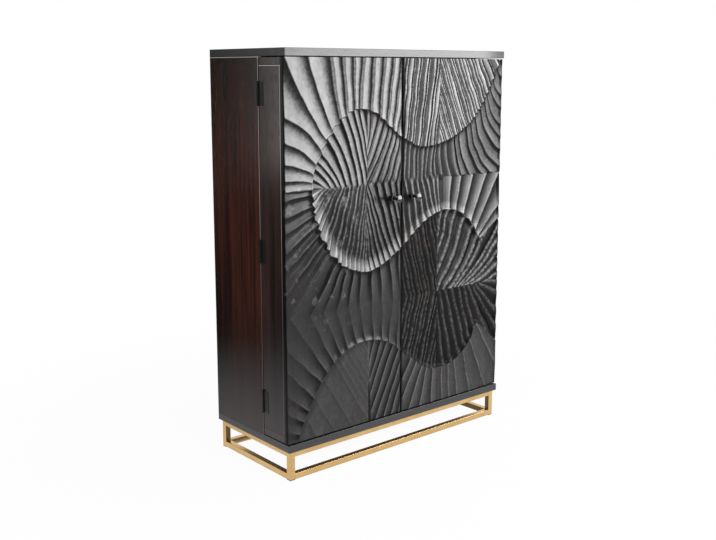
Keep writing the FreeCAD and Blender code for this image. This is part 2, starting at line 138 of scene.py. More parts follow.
def white_floor():
    """Material: matt white, but plain white to camera rays; to glossy rays a painted pool of light with a
    painted shadow under the cabinet.
    """
    material = bpy.data.materials.new("white_floor")
    material.use_nodes = True
    tree = material.node_tree
    tree.nodes.clear()
    ray = add_node(tree, "ShaderNodeLightPath").outputs
    place = add_node(tree, "ShaderNodeTexCoord").outputs["Object"]
    far = add_node(tree, "ShaderNodeVectorMath", {0: place}, operation="LENGTH").outputs["Value"]
    out = add_node(tree, "ShaderNodeVectorMath", {0: place, 1: POOL_MIDDLE}, operation="DISTANCE")
    # Painted pool of light, seen only in reflections.
    pool = ranged(tree, out.outputs["Value"], POOL_NEAR, POOL_FAR, 1.0, ROOM)
    axes = add_node(tree, "ShaderNodeSeparateXYZ", {0: place}).outputs
    # Painted shadow under the cabinet's footprint, seen only in reflections.
    beside = math_node(tree, "SUBTRACT", math_node(tree, "ABSOLUTE", axes["X"]), BASE_HALF_WIDTH)
    before = math_node(tree, "SUBTRACT", math_node(tree, "ABSOLUTE", axes["Y"]), BASE_HALF_DEPTH)
    clear = ranged(tree, math_node(tree, "MAXIMUM", beside, before), -UNDER_SOFT, 0.0, UNDER_CABINET_SHADOW)
    pool = math_node(tree, "MULTIPLY", pool, clear)
    mirrored = math_node(tree, "MAXIMUM", ray["Is Glossy Ray"], ray["Is Transmission Ray"])
    plain_share = ranged(tree, far, SHADE_NEAR, SHADE_FAR, 1 - SHADE_SHOWN)
    seen = math_node(tree, "MULTIPLY", ray["Is Camera Ray"], plain_share)
    level = math_node(tree, "MAXIMUM", ray["Is Camera Ray"], math_node(tree, "MULTIPLY", mirrored, pool))
    matt = add_node(tree, "ShaderNodeBsdfDiffuse", {"Color": MATT_WHITE})
    plain = add_node(tree, "ShaderNodeEmission", {"Color": WHITE, "Strength": level})
    shown = math_node(tree, "MAXIMUM", seen, mirrored)
    mix = add_node(tree, "ShaderNodeMixShader", {0: shown, 1: matt.outputs[0], 2: plain.outputs[0]})
    add_node(tree, "ShaderNodeOutputMaterial", {"Surface": mix.outputs[0]})
    return material


def floor_square(half):
    """The floor, a flat square (u, v) -> (u, v, 0) on a two by two grid."""
    u, v = np.meshgrid([-half, half], [-half, half])
    mesh = bpy.data.meshes.new("floor")
    points = np.stack([u, v, np.zeros_like(u)], -1).reshape(-1, 3)
    mesh.from_pydata(points.tolist(), [], [(0, 1, 3, 2)])
    floor = bpy.data.objects.new("floor", mesh)
    bpy.context.scene.collection.objects.link(floor)
    mesh.materials.append(white_floor())
    return floor


floor_square(FLOOR_HALF)

AMBIENT = 0.35
SWEEP_AZIMUTH = 40
SWEEP_EDGE, SWEEP_FULL = 0.5, 0.75


def studio_world():
    """World: white to camera rays and, in reflections, on the sweep behind the cabinet; dim elsewhere."""
    world = bpy.data.worlds.new("studio")
    bpy.context.scene.world = world
    world.use_nodes = True
    tree = world.node_tree
    tree.nodes.clear()
    ray = add_node(tree, "ShaderNodeLightPath").outputs
    towards = add_node(tree, "ShaderNodeTexCoord").outputs["Generated"]
    middle = (np.sin(radians(SWEEP_AZIMUTH)), np.cos(radians(SWEEP_AZIMUTH)), 0.0)
    facing = add_node(tree, "ShaderNodeVectorMath", {0: towards, 1: middle}, operation="DOT_PRODUCT")
    sweep = ranged(tree, facing.outputs["Value"], SWEEP_EDGE, SWEEP_FULL, ROOM)
    mirrored = math_node(tree, "MAXIMUM", ray["Is Glossy Ray"], ray["Is Transmission Ray"])
    seen = math_node(tree, "MAXIMUM", ray["Is Camera Ray"], math_node(tree, "MULTIPLY", mirrored, sweep))
    bounced = math_node(tree, "MULTIPLY", ray["Is Diffuse Ray"], AMBIENT)
    level = math_node(tree, "MAXIMUM", seen, bounced)
    sky = add_node(tree, "ShaderNodeBackground", {"Color": WHITE, "Strength": level})
    add_node(tree, "ShaderNodeOutputWorld", {"Surface": sky.outputs[0]})


studio_world()
bpy.context.scene.view_settings.view_transform = "Standard"
print("stage ready")

# %% [markdown]
# The camera stands at the front left of the cabinet, a little under its top, and looks slightly down.
# The photograph has upright lines that stay parallel, which a view camera gets by sliding its lens. A
# small lens shift keeps most of that look, and leaves the whole cabinet in the frame from other sides.

# %% Camera
LOOKS_DOWN = 9.55
LOOKS_RIGHT = 40.32
camera_data = bpy.data.cameras.new("camera")
camera = bpy.data.objects.new("camera", camera_data)
bpy.context.scene.collection.objects.link(camera)
camera.location = (-2.263, -2.621, 1.328)
camera.rotation_euler = (radians(90 - LOOKS_DOWN), 0, radians(-LOOKS_RIGHT))
camera_data.lens = 48.69
camera_data.sensor_width = 36
camera_data.shift_y = -0.05
bpy.context.scene.camera = camera
print("camera", camera_data.lens, "mm")

# %% [markdown]
# Black lacquer shows its shape by what it mirrors. A wide softbox at the front right is mirrored by the
# flat of the top board and by the gentle side of each flute, while the steep side of a flute looks into
# the dim room. A smaller box high in front lifts the upper fans, and a weak one at the left keeps the
# side boards readable. A narrow strip behind the cabinet draws the grey sheen on the upper half of the
# door's side.

# %% Lamps
CABINET_MIDDLE = (0.0, 0.0, 0.9)
DOOR_SIDE_TOP = (-0.5, -0.13, 1.3)


def softbox(name, place, size, watts, aim=CABINET_MIDDLE):
    """A rectangular lamp at place, size = (width, height) in metres, turned to face a point."""
    data = bpy.data.lights.new(name, "AREA")
    data.shape = "RECTANGLE"
    data.size, data.size_y = size
    data.energy = watts
    lamp = bpy.data.objects.new(name, data)
    bpy.context.scene.collection.objects.link(lamp)
    lamp.location = place
    x, y, z = np.array(aim) - np.array(place)
    lamp.rotation_euler = (np.arctan2(np.hypot(x, y), -z), 0, np.arctan2(y, x) - np.pi / 2)
    lamp.visible_camera = False
    return lamp


softbox("key_softbox", (2.31, -2.23, 1.35), (2.75, 1.9), 141)
softbox("top_softbox", (-0.1, -3.2, 2.4), (1.6, 1.0), 40)
softbox("fill_softbox", (-3.2, -0.9, 2.4), (1.6, 1.6), 20)
softbox("back_strip", (-2.5, 2.42, 1.35), (0.2, 1.3), 3, DOOR_SIDE_TOP)
print("lamps ready")

# %% [markdown]
# The wood is an open-pored hardwood under stain and lacquer. Its figure is long soft streaks along the
# grain, and its pores are short thin slits that stay open under a thin lacquer. Both come from noise
# that is stretched along one axis. The group reads a vector whose Z runs along the grain, so each
# finish turns its own pattern, and it gives streaks and pores as masks and both together as a height.

# %% Shared wood grain
BROAD_SCALE = 5.0
BROAD_SHARE = 0.45


def wood_grain_group():
    """Group: Streaks, Pores and Height (0 to 1) from noise stretched along the vector's Z."""
    sockets = {"Vector": None, "Streak Scale": 30.0, "Pore Scale": 520.0}
    group, given, out = new_group("wood_grain", sockets, ["Streaks", "Pores", "Height"])

    def stretched(shrink, scale, detail, distortion=0.0):
        along = add_node(group, "ShaderNodeVectorMath", {0: given["Vector"], 1: (1, 1, shrink)},
                         operation="MULTIPLY").outputs[0]
        noise = add_node(group, "ShaderNodeTexNoise", {"Vector": along, "Scale": scale, "Detail": detail,
                                                       "Distortion": distortion})
        return noise.outputs["Fac"]

    broad = stretched(0.2, BROAD_SCALE, 2.0, 0.4)
    narrow = stretched(0.05, given["Streak Scale"], 5.0, 0.3)
    slits = stretched(0.045, given["Pore Scale"], 2.0)
    broad = math_node(group, "MULTIPLY", broad, BROAD_SHARE)
    both = math_node(group, "MULTIPLY_ADD", narrow, 1 - BROAD_SHARE, broad)
    streaks = ranged(group, both, 0.34, 0.66, kind="SMOOTHSTEP")
    pores = ranged(group, slits, 0.6, 0.7)
    height = math_node(group, "SUBTRACT", math_node(group, "MULTIPLY_ADD", streaks, 0.3, 0.6),
                       math_node(group, "MULTIPLY", pores, 0.6))
    feed(group, out, {"Streaks": streaks, "Pores": pores, "Height": height})
    return group


wood_grain = wood_grain_group()
print("group", wood_grain.name)

# %% [markdown]
# A lacquered board isn't the same all over. Along its arris, where two faces meet, a pale line is painted as
# a highlight, brightest near the cabinet's top and on its left side. The stain is thinner in the middle of a
# side, where the red of the wood comes through. All of that depends on how far a point lies from some plane,
# so one small group makes a mask near a plane, and two others use it: one for the painted edge highlights and
# one for the thin stain.

# %% Masks that follow the cabinet's planes
EDGE_HIGHLIGHT = 0.85
LEAST_EDGE_HIGHLIGHT = 0.25
EDGE_HALF, EDGE_SOFT = 0.0005, 0.0011
BRIGHTEST_EDGE_PLANES = (("Z", 1.4, 0.35, 0.55), ("X", -0.5, 0.1, 0.8))
THICK_STAIN = 0.25
THIN_HEIGHT = ("Z", 0.85, 0.2, 0.4)
THIN_DEPTH = ("Y", -0.06, 0.1, 0.25)


def plane_mask_group():
    """Group: Mask is 1 where Along is within Half of At, and fades to 0 over Soft; all in metres."""
    sockets = dict.fromkeys(("Along", "At", "Half", "Soft"), 0.0)
    group, given, out = new_group("plane_mask", sockets, ["Mask"])
    off = math_node(group, "ABSOLUTE", math_node(group, "SUBTRACT", given["Along"], given["At"]))
    gone = math_node(group, "ADD", given["Half"], given["Soft"])
    feed(group, out, {"Mask": ranged(group, off, given["Half"], gone, 1.0, 0.0, "SMOOTHSTEP")})
    return group


plane_mask = plane_mask_group()


def near_plane(tree, place, axis, at, half, soft):
    """Mask socket: 1 within half a width of a plane across an axis, fading to 0 over soft, in metres."""
    along = add_node(tree, "ShaderNodeSeparateXYZ", {0: place}).outputs[axis]
    lengths = {"Along": along, "At": at, "Half": half, "Soft": soft}
    return use_group(tree, plane_mask, lengths)["Mask"]


def edge_highlight_group():
    """Group: Mask of a thin painted highlight line where Along is near At, strongest near two other planes.
    """
    sockets = {"Place": None, "Along": 0.0, "At": 0.0}
    group, given, out = new_group("edge_highlight", sockets, ["Mask"])
    # The painted highlight is brightest near the cabinet's top and its left side.
    most = math_node(group, "MULTIPLY", *[near_plane(group, given["Place"], *plane) for plane in BRIGHTEST_EDGE_PLANES])
    strength = ranged(group, most, 0.0, 1.0, LEAST_EDGE_HIGHLIGHT * EDGE_HIGHLIGHT, EDGE_HIGHLIGHT)
    lengths = {"Along": given["Along"], "At": given["At"], "Half": EDGE_HALF, "Soft": EDGE_SOFT}
    line = use_group(group, plane_mask, lengths)["Mask"]
    feed(group, out, {"Mask": math_node(group, "MULTIPLY", line, strength)})
    return group


def thin_stain_group():
    """Group: Share of the light colour that shows, from THICK_STAIN to 1 in the middle of a side."""
    group, given, out = new_group("thin_stain", {"Place": None}, ["Share"])
    front = ranged(group, near_plane(group, given["Place"], *THIN_DEPTH), 0.0, 1.0, 0.5)
    thin = math_node(group, "MULTIPLY", near_plane(group, given["Place"], *THIN_HEIGHT), front)
    feed(group, out, {"Share": ranged(group, thin, 0.0, 1.0, THICK_STAIN)})
    return group


edge_highlight = edge_highlight_group()
thin_stain = thin_stain_group()
print("groups", plane_mask.name, edge_highlight.name, thin_stain.name)

# %% [markdown]
# The wood finishes share those groups: the black lacquer of the top and bottom boards, the dark brown
# sides with reddish streaks, the brown-black boards of the door boxes and the warmer wood inside. They
# differ in two colours, in how rough the lacquer dries and in how deep the pores are. The turn of the
# Mapping node lays the grain along the board. Boards that lie flat get a finish of their own, with the
# grain across.

# %% Wood finishes
GRAIN_TURN = {"up": (0, 0, 0), "across": (0, radians(90), 0)}
GRAIN_DEEP = 0.0006
EDGE_HIGHLIGHT_PALE = (0.60, 0.585, 0.57)
DULL_END = ("X", 0.5, 0.0, 0.14)
DULLER_BY = 0.35


def new_material(name):
    """A node material: itself, its tree, its Principled shader and the socket of the place in metres."""
    material = bpy.data.materials.new(name)
    material.use_nodes = True
    tree = material.node_tree
    place = add_node(tree, "ShaderNodeTexCoord").outputs["Object"]
    return material, tree, tree.nodes["Principled BSDF"], place


def bumped(tree, height, strength, distance):
    """Normal socket of a surface that rises by distance, in metres, where height is 1."""
    sockets = {"Height": height, "Strength": strength, "Distance": distance}
    return add_node(tree, "ShaderNodeBump", sockets).outputs[0]


def wood_finish(name, dark, light, rough, specular, bump, grain="up", streak_scale=30.0, contrast=1.0,
                edges=(), thin=False, dull_end=False):
    """Material: stained wood, dark to light on the streaks, rough = (light streaks, dark streaks)."""
    material, tree, shader, place = new_material(name)
    turned = add_node(tree, "ShaderNodeMapping", {"Vector": place, "Rotation": GRAIN_TURN[grain]}).outputs[0]
    figure = use_group(tree, wood_grain, {"Vector": turned, "Streak Scale": streak_scale})
    amount = math_node(tree, "POWER", figure["Streaks"], contrast)
    if thin:
        share = use_group(tree, thin_stain, {"Place": place})["Share"]
        amount = math_node(tree, "MULTIPLY", amount, share)
    stain_and_painted_light = colour_mix(tree, amount, dark, light)
    # A pale painted highlight along each given edge.
    for axis, at in edges:
        along = add_node(tree, "ShaderNodeSeparateXYZ", {0: place}).outputs[axis]
        line = use_group(tree, edge_highlight, {"Place": place, "Along": along, "At": at})["Mask"]
        stain_and_painted_light = colour_mix(tree, line, stain_and_painted_light, EDGE_HIGHLIGHT_PALE)
    worn_and_highlit = ranged(tree, figure["Height"], 0.0, 1.0, rough[1], rough[0])
    if dull_end:
        worn_and_highlit = math_node(tree, "MULTIPLY_ADD", near_plane(tree, place, *DULL_END), DULLER_BY, worn_and_highlit)
    feed(tree, shader, {"Base Color": stain_and_painted_light, "Roughness": worn_and_highlit, "Specular IOR Level": specular,
                        "Normal": bumped(tree, figure["Height"], bump, GRAIN_DEEP)})
    return material


board_lacquer = wood_finish("board_lacquer", (0.009, 0.009, 0.010), (0.018, 0.017, 0.017), (0.26, 0.36),
                            0.7, 0.25, "across", dull_end=True)
side_wood = wood_finish("side_wood", (0.006, 0.004, 0.004), (0.086, 0.025, 0.015), (0.15, 0.26), 0.40, 0.2,
                        streak_scale=40, contrast=1.1, edges=[("Z", 1.3728), ("Y", -0.0538)], thin=True)
door_wood = wood_finish("door_wood", (0.010, 0.008, 0.008), (0.062, 0.032, 0.027), (0.16, 0.28), 0.45, 0.2,
                        edges=[("Z", 1.3458), ("Y", -0.1708)], thin=True)
door_wood_across = wood_finish("door_wood_across", (0.010, 0.008, 0.008), (0.050, 0.027, 0.024),
                               (0.16, 0.28), 0.45, 0.2, "across")
INNER_WOOD = ((0.055, 0.026, 0.015), (0.17, 0.088, 0.050), (0.40, 0.55), 0.4, 0.3)
inner_wood = wood_finish("inner_wood", *INNER_WOOD)
inner_wood_across = wood_finish("inner_wood_across", *INNER_WOOD, "across")
print("wood finishes ready")

# %% [markdown]
# The carved fronts need more than the grain. The carving writes a value on its points as an attribute, from 0
# to 1, which is partly a real coat, thicker and rubbed on the ridges, and partly painted light and shade: it
# is high on the side of each flute that faces the lamp and low on the side turned away, in the coves and in
# the sunk parts. This finish reads it as the weight of the clear coat, and the colour is darker and rougher
# where the value is low. Pores break the coat up, and in broad patches the brown of the wood shows through
# the black. A second attribute is a pale painted highlight on the ridges and rims, partly wear, broken into
# beads where the lacquer is dull. Last come small pale chips, on the left door only, at the lower left of its
# round leaf.

# %% The finish of the carving
CARVED_STREAK_SCALE = 45.0
FLECK_SCALE, PATCH_SCALE, CHIP_SCALE = 75.0, 9.0, 30.0
CHIPPED = 0.3
CHIPPED_NEAR = (("X", -0.36, 0.1, 0.15), ("Z", 0.78, 0.15, 0.2), ("Y", -0.193, 0.012, 0.004))
OPEN_PORES = 0.45
CARVED_SPECULAR = 0.06
CARVED_BUMP = 0.3
COAT_ROUGHNESS = 0.24
COAT_IOR = 1.7


def carved_finish(name, groove, ridge, brown, worn_and_highlit):
    """Material: a colour from groove to ridge under a clear coat, by the piece's painted light and coat
    value, paler by its painted highlight and wear.
    """
    material, tree, shader, place = new_material(name)
    figure = use_group(tree, wood_grain, {"Vector": place, "Streak Scale": CARVED_STREAK_SCALE})

    def noise(scale, detail=3.0):
        made = add_node(tree, "ShaderNodeTexNoise", {"Vector": place, "Scale": scale, "Detail": detail})
        return made.outputs["Fac"]

    gloss_and_painted_light = add_node(tree, "ShaderNodeAttribute", attribute_name="gloss_and_painted_light").outputs["Fac"]
    wear_and_painted_highlight = add_node(tree, "ShaderNodeAttribute", attribute_name="wear_and_painted_highlight").outputs["Fac"]
    fleck = noise(FLECK_SCALE)
    streaky = math_node(tree, "MULTIPLY_ADD", figure["Streaks"], 0.2, 0.8)
    lit = math_node(tree, "MULTIPLY", math_node(tree, "MULTIPLY", gloss_and_painted_light, streaky),
                    ranged(tree, fleck, 0.3, 0.7, 0.86, 1.14))
    # Painted light and shade in the colour: darker where the value is low.
    stain_and_painted_light = colour_mix(tree, lit, groove, ridge)
    patch = ranged(tree, noise(PATCH_SCALE, 5.0), 0.52, 0.72, 0.0, 0.6)
    stain_and_painted_light = colour_mix(tree, patch, stain_and_painted_light, brown)
    unbroken = ranged(tree, gloss_and_painted_light, 0.4, 0.75, 0.0, 0.9)
    beads = ranged(tree, fleck, 0.36, 0.64, unbroken)
    chips = ranged(tree, noise(CHIP_SCALE), 0.60, 0.75, 0.0, CHIPPED)
    for plane in CHIPPED_NEAR:
        chips = math_node(tree, "MULTIPLY", chips, near_plane(tree, place, *plane))
    # Pale painted highlight on the ridges and rims, partly wear, and the pale chips.
    stain_and_painted_light = colour_mix(tree, math_node(tree, "MULTIPLY_ADD", wear_and_painted_highlight, beads, chips), stain_and_painted_light, worn_and_highlit)
    closed = math_node(tree, "MULTIPLY_ADD", figure["Pores"], -OPEN_PORES, 1.0)
    feed(tree, shader, {"Base Color": stain_and_painted_light, "Roughness": ranged(tree, lit, 0.0, 1.0, 0.62, 0.40),
                        "Coat Weight": math_node(tree, "MULTIPLY", lit, closed),
                        "Coat Roughness": COAT_ROUGHNESS, "Coat IOR": COAT_IOR,
                        "Specular IOR Level": CARVED_SPECULAR,
                        "Normal": bumped(tree, figure["Height"], CARVED_BUMP, GRAIN_DEEP)})
    return material


carved_lacquer = carved_finish("carved_lacquer", (0.003, 0.003, 0.003), (0.012, 0.012, 0.012),
                               (0.014, 0.009, 0.008), (0.30, 0.30, 0.30))
print("carved finish ready")

# %% [markdown]
# The metals are simpler. The base is square tube in a satin brass colour: the satin comes from fine
# polishing lines that make the reflection uneven, so a noise moves the colour, the roughness and a very
# small bump. Hinges and knobs are black, the hinges satin and the knobs polished; shelf pins, screws
# and strike plates are bright zinc. Catches and floor glides are moulded plastic. All of them read the
# same group, at scales of their own.

# %% Metal and plastic finishes
SPECKLE_DEEP = 0.0004


def speckle_group():
    """Group: a noise of a given scale as Height, and spread to the whole of 0 to 1 as Drift."""
    group, given, out = new_group("speckle", {"Vector": None, "Scale": 100.0}, ["Drift", "Height"])
    sockets = {"Vector": given["Vector"], "Scale": given["Scale"], "Detail": 4.0}
    height = add_node(group, "ShaderNodeTexNoise", sockets).outputs["Fac"]
    feed(group, out, {"Drift": ranged(group, height, 0.3, 0.7), "Height": height})
    return group


speckle = speckle_group()


def plain_finish(name, colours, rough, metallic, specular, scale, bump):
    """Material: a colour and a roughness that drift between two values, with a small bump."""
    material, tree, shader, place = new_material(name)
    spots = use_group(tree, speckle, {"Vector": place, "Scale": scale})
    feed(tree, shader, {"Base Color": colour_mix(tree, spots["Drift"], *colours),
                        "Roughness": ranged(tree, spots["Drift"], 0.0, 1.0, *rough),
                        "Normal": bumped(tree, spots["Height"], bump, SPECKLE_DEEP),
                        "Metallic": metallic, "Specular IOR Level": specular})
    return material


brass = plain_finish("brass", ((0.61, 0.395, 0.165), (0.70, 0.465, 0.21)), (0.26, 0.32), 1.0, 0.5, 24, 0.01)
black_metal = plain_finish("black_metal", ((0.010, 0.010, 0.011), (0.018, 0.018, 0.019)), (0.32, 0.45),
                           0.0, 0.5, 300, 0.12)
knob_metal = plain_finish("knob_metal", ((0.008, 0.008, 0.009), (0.013, 0.013, 0.014)), (0.08, 0.13),
                          0.0, 0.8, 160, 0.01)
steel = plain_finish("steel", ((0.50, 0.50, 0.51), (0.60, 0.60, 0.61)), (0.25, 0.38), 1.0, 0.5, 400, 0.08)
black_plastic = plain_finish("black_plastic", ((0.020, 0.020, 0.020), (0.030, 0.030, 0.030)), (0.45, 0.60),
                             0.0, 0.4, 500, 0.2)
print("metal and plastic finishes ready")

# %% [markdown]
# The carving covers both doors as one picture. Three wavy lines cross it, and between them the wood is
# cut into fans of flutes. Every line below is in millimetres, x from the cabinet's middle and z from the
# floor, as a carver would set them out on the board. A wavy line is given by a few points, and a
# Catmull-Rom curve through them makes it smooth. What the carving needs from it is the distance to it,
# counted as plus above the line, so it is cut into short straight pieces and each point of the door
# finds its nearest piece.

# %% The three wavy lines
CREST = [
    (-388, 952), (-383, 1005), (-362, 1055), (-330, 1110), (-275, 1172), (-217, 1203), (-163, 1206),
    (-110, 1185), (-55, 1143), (0, 1105), (62, 1077), (124, 1069), (184, 1078), (264, 1106), (348, 1157),
    (412, 1238), (452, 1305), (488, 1372), (515, 1425),
]
WAIST = [
    (-388, 962), (-388, 908), (-370, 838), (-328, 754), (-268, 695), (-215, 672), (-150, 659), (-76, 683),
    (0, 728), (50, 768), (112, 809), (172, 832), (222, 837), (270, 827), (318, 802), (360, 762),
    (394, 715), (450, 745), (510, 785),
]
FOOT = [
    (-480, 70), (-448, 160), (-400, 248), (-350, 322), (-290, 377), (-232, 407), (-173, 417), (-114, 411),
    (-58, 392), (0, 350), (50, 315), (100, 278), (150, 258), (205, 252), (262, 262), (318, 295),
    (358, 335), (385, 385), (445, 345), (510, 290),
]


def smooth_line(points, steps=8):
    """Catmull-Rom: from b to c of points a, b, c, d the line is, for t from 0 to 1,
    (2b + (c-a)t + (2a-5b+4c-d)t^2 + (3b-a-3c+d)t^3) / 2."""
    p = np.array(points, float)
    p = np.vstack([2 * p[0] - p[1], p, 2 * p[-1] - p[-2]])
    a, b, c, d = (p[k:len(p) - 3 + k, None] for k in range(4))
    t = (np.arange(steps) / steps)[None, :, None]
    square, cube = 2 * a - 5 * b + 4 * c - d, 3 * b - a - 3 * c + d
    line = 0.5 * (2 * b + (c - a) * t + square * t**2 + cube * t**3)
    return np.vstack([line.reshape(-1, 2), p[-2:-1]])


def above(line, x, z):
    """Distance from each point (x, z) to a line of short pieces, plus on its left as it is followed."""
    best = np.full(x.shape, 1e9)
    signed = np.zeros(x.shape)
    for (ax, az), (bx, bz) in zip(line[:-1], line[1:]):
        ux, uz = bx - ax, bz - az
        t = np.clip(((x - ax) * ux + (z - az) * uz) / (ux * ux + uz * uz), 0, 1)
        dx, dz = x - ax - t * ux, z - az - t * uz
        far = np.hypot(dx, dz)
        nearer = far < best
        side = np.sign(ux * (z - az) - uz * (x - ax))
        best = np.where(nearer, far, best)
        signed = np.where(nearer, far * side, signed)
    return signed


crest, waist, foot = (smooth_line(points) for points in (CREST, WAIST, FOOT))
print("wavy lines", len(crest), len(waist), len(foot), "points")
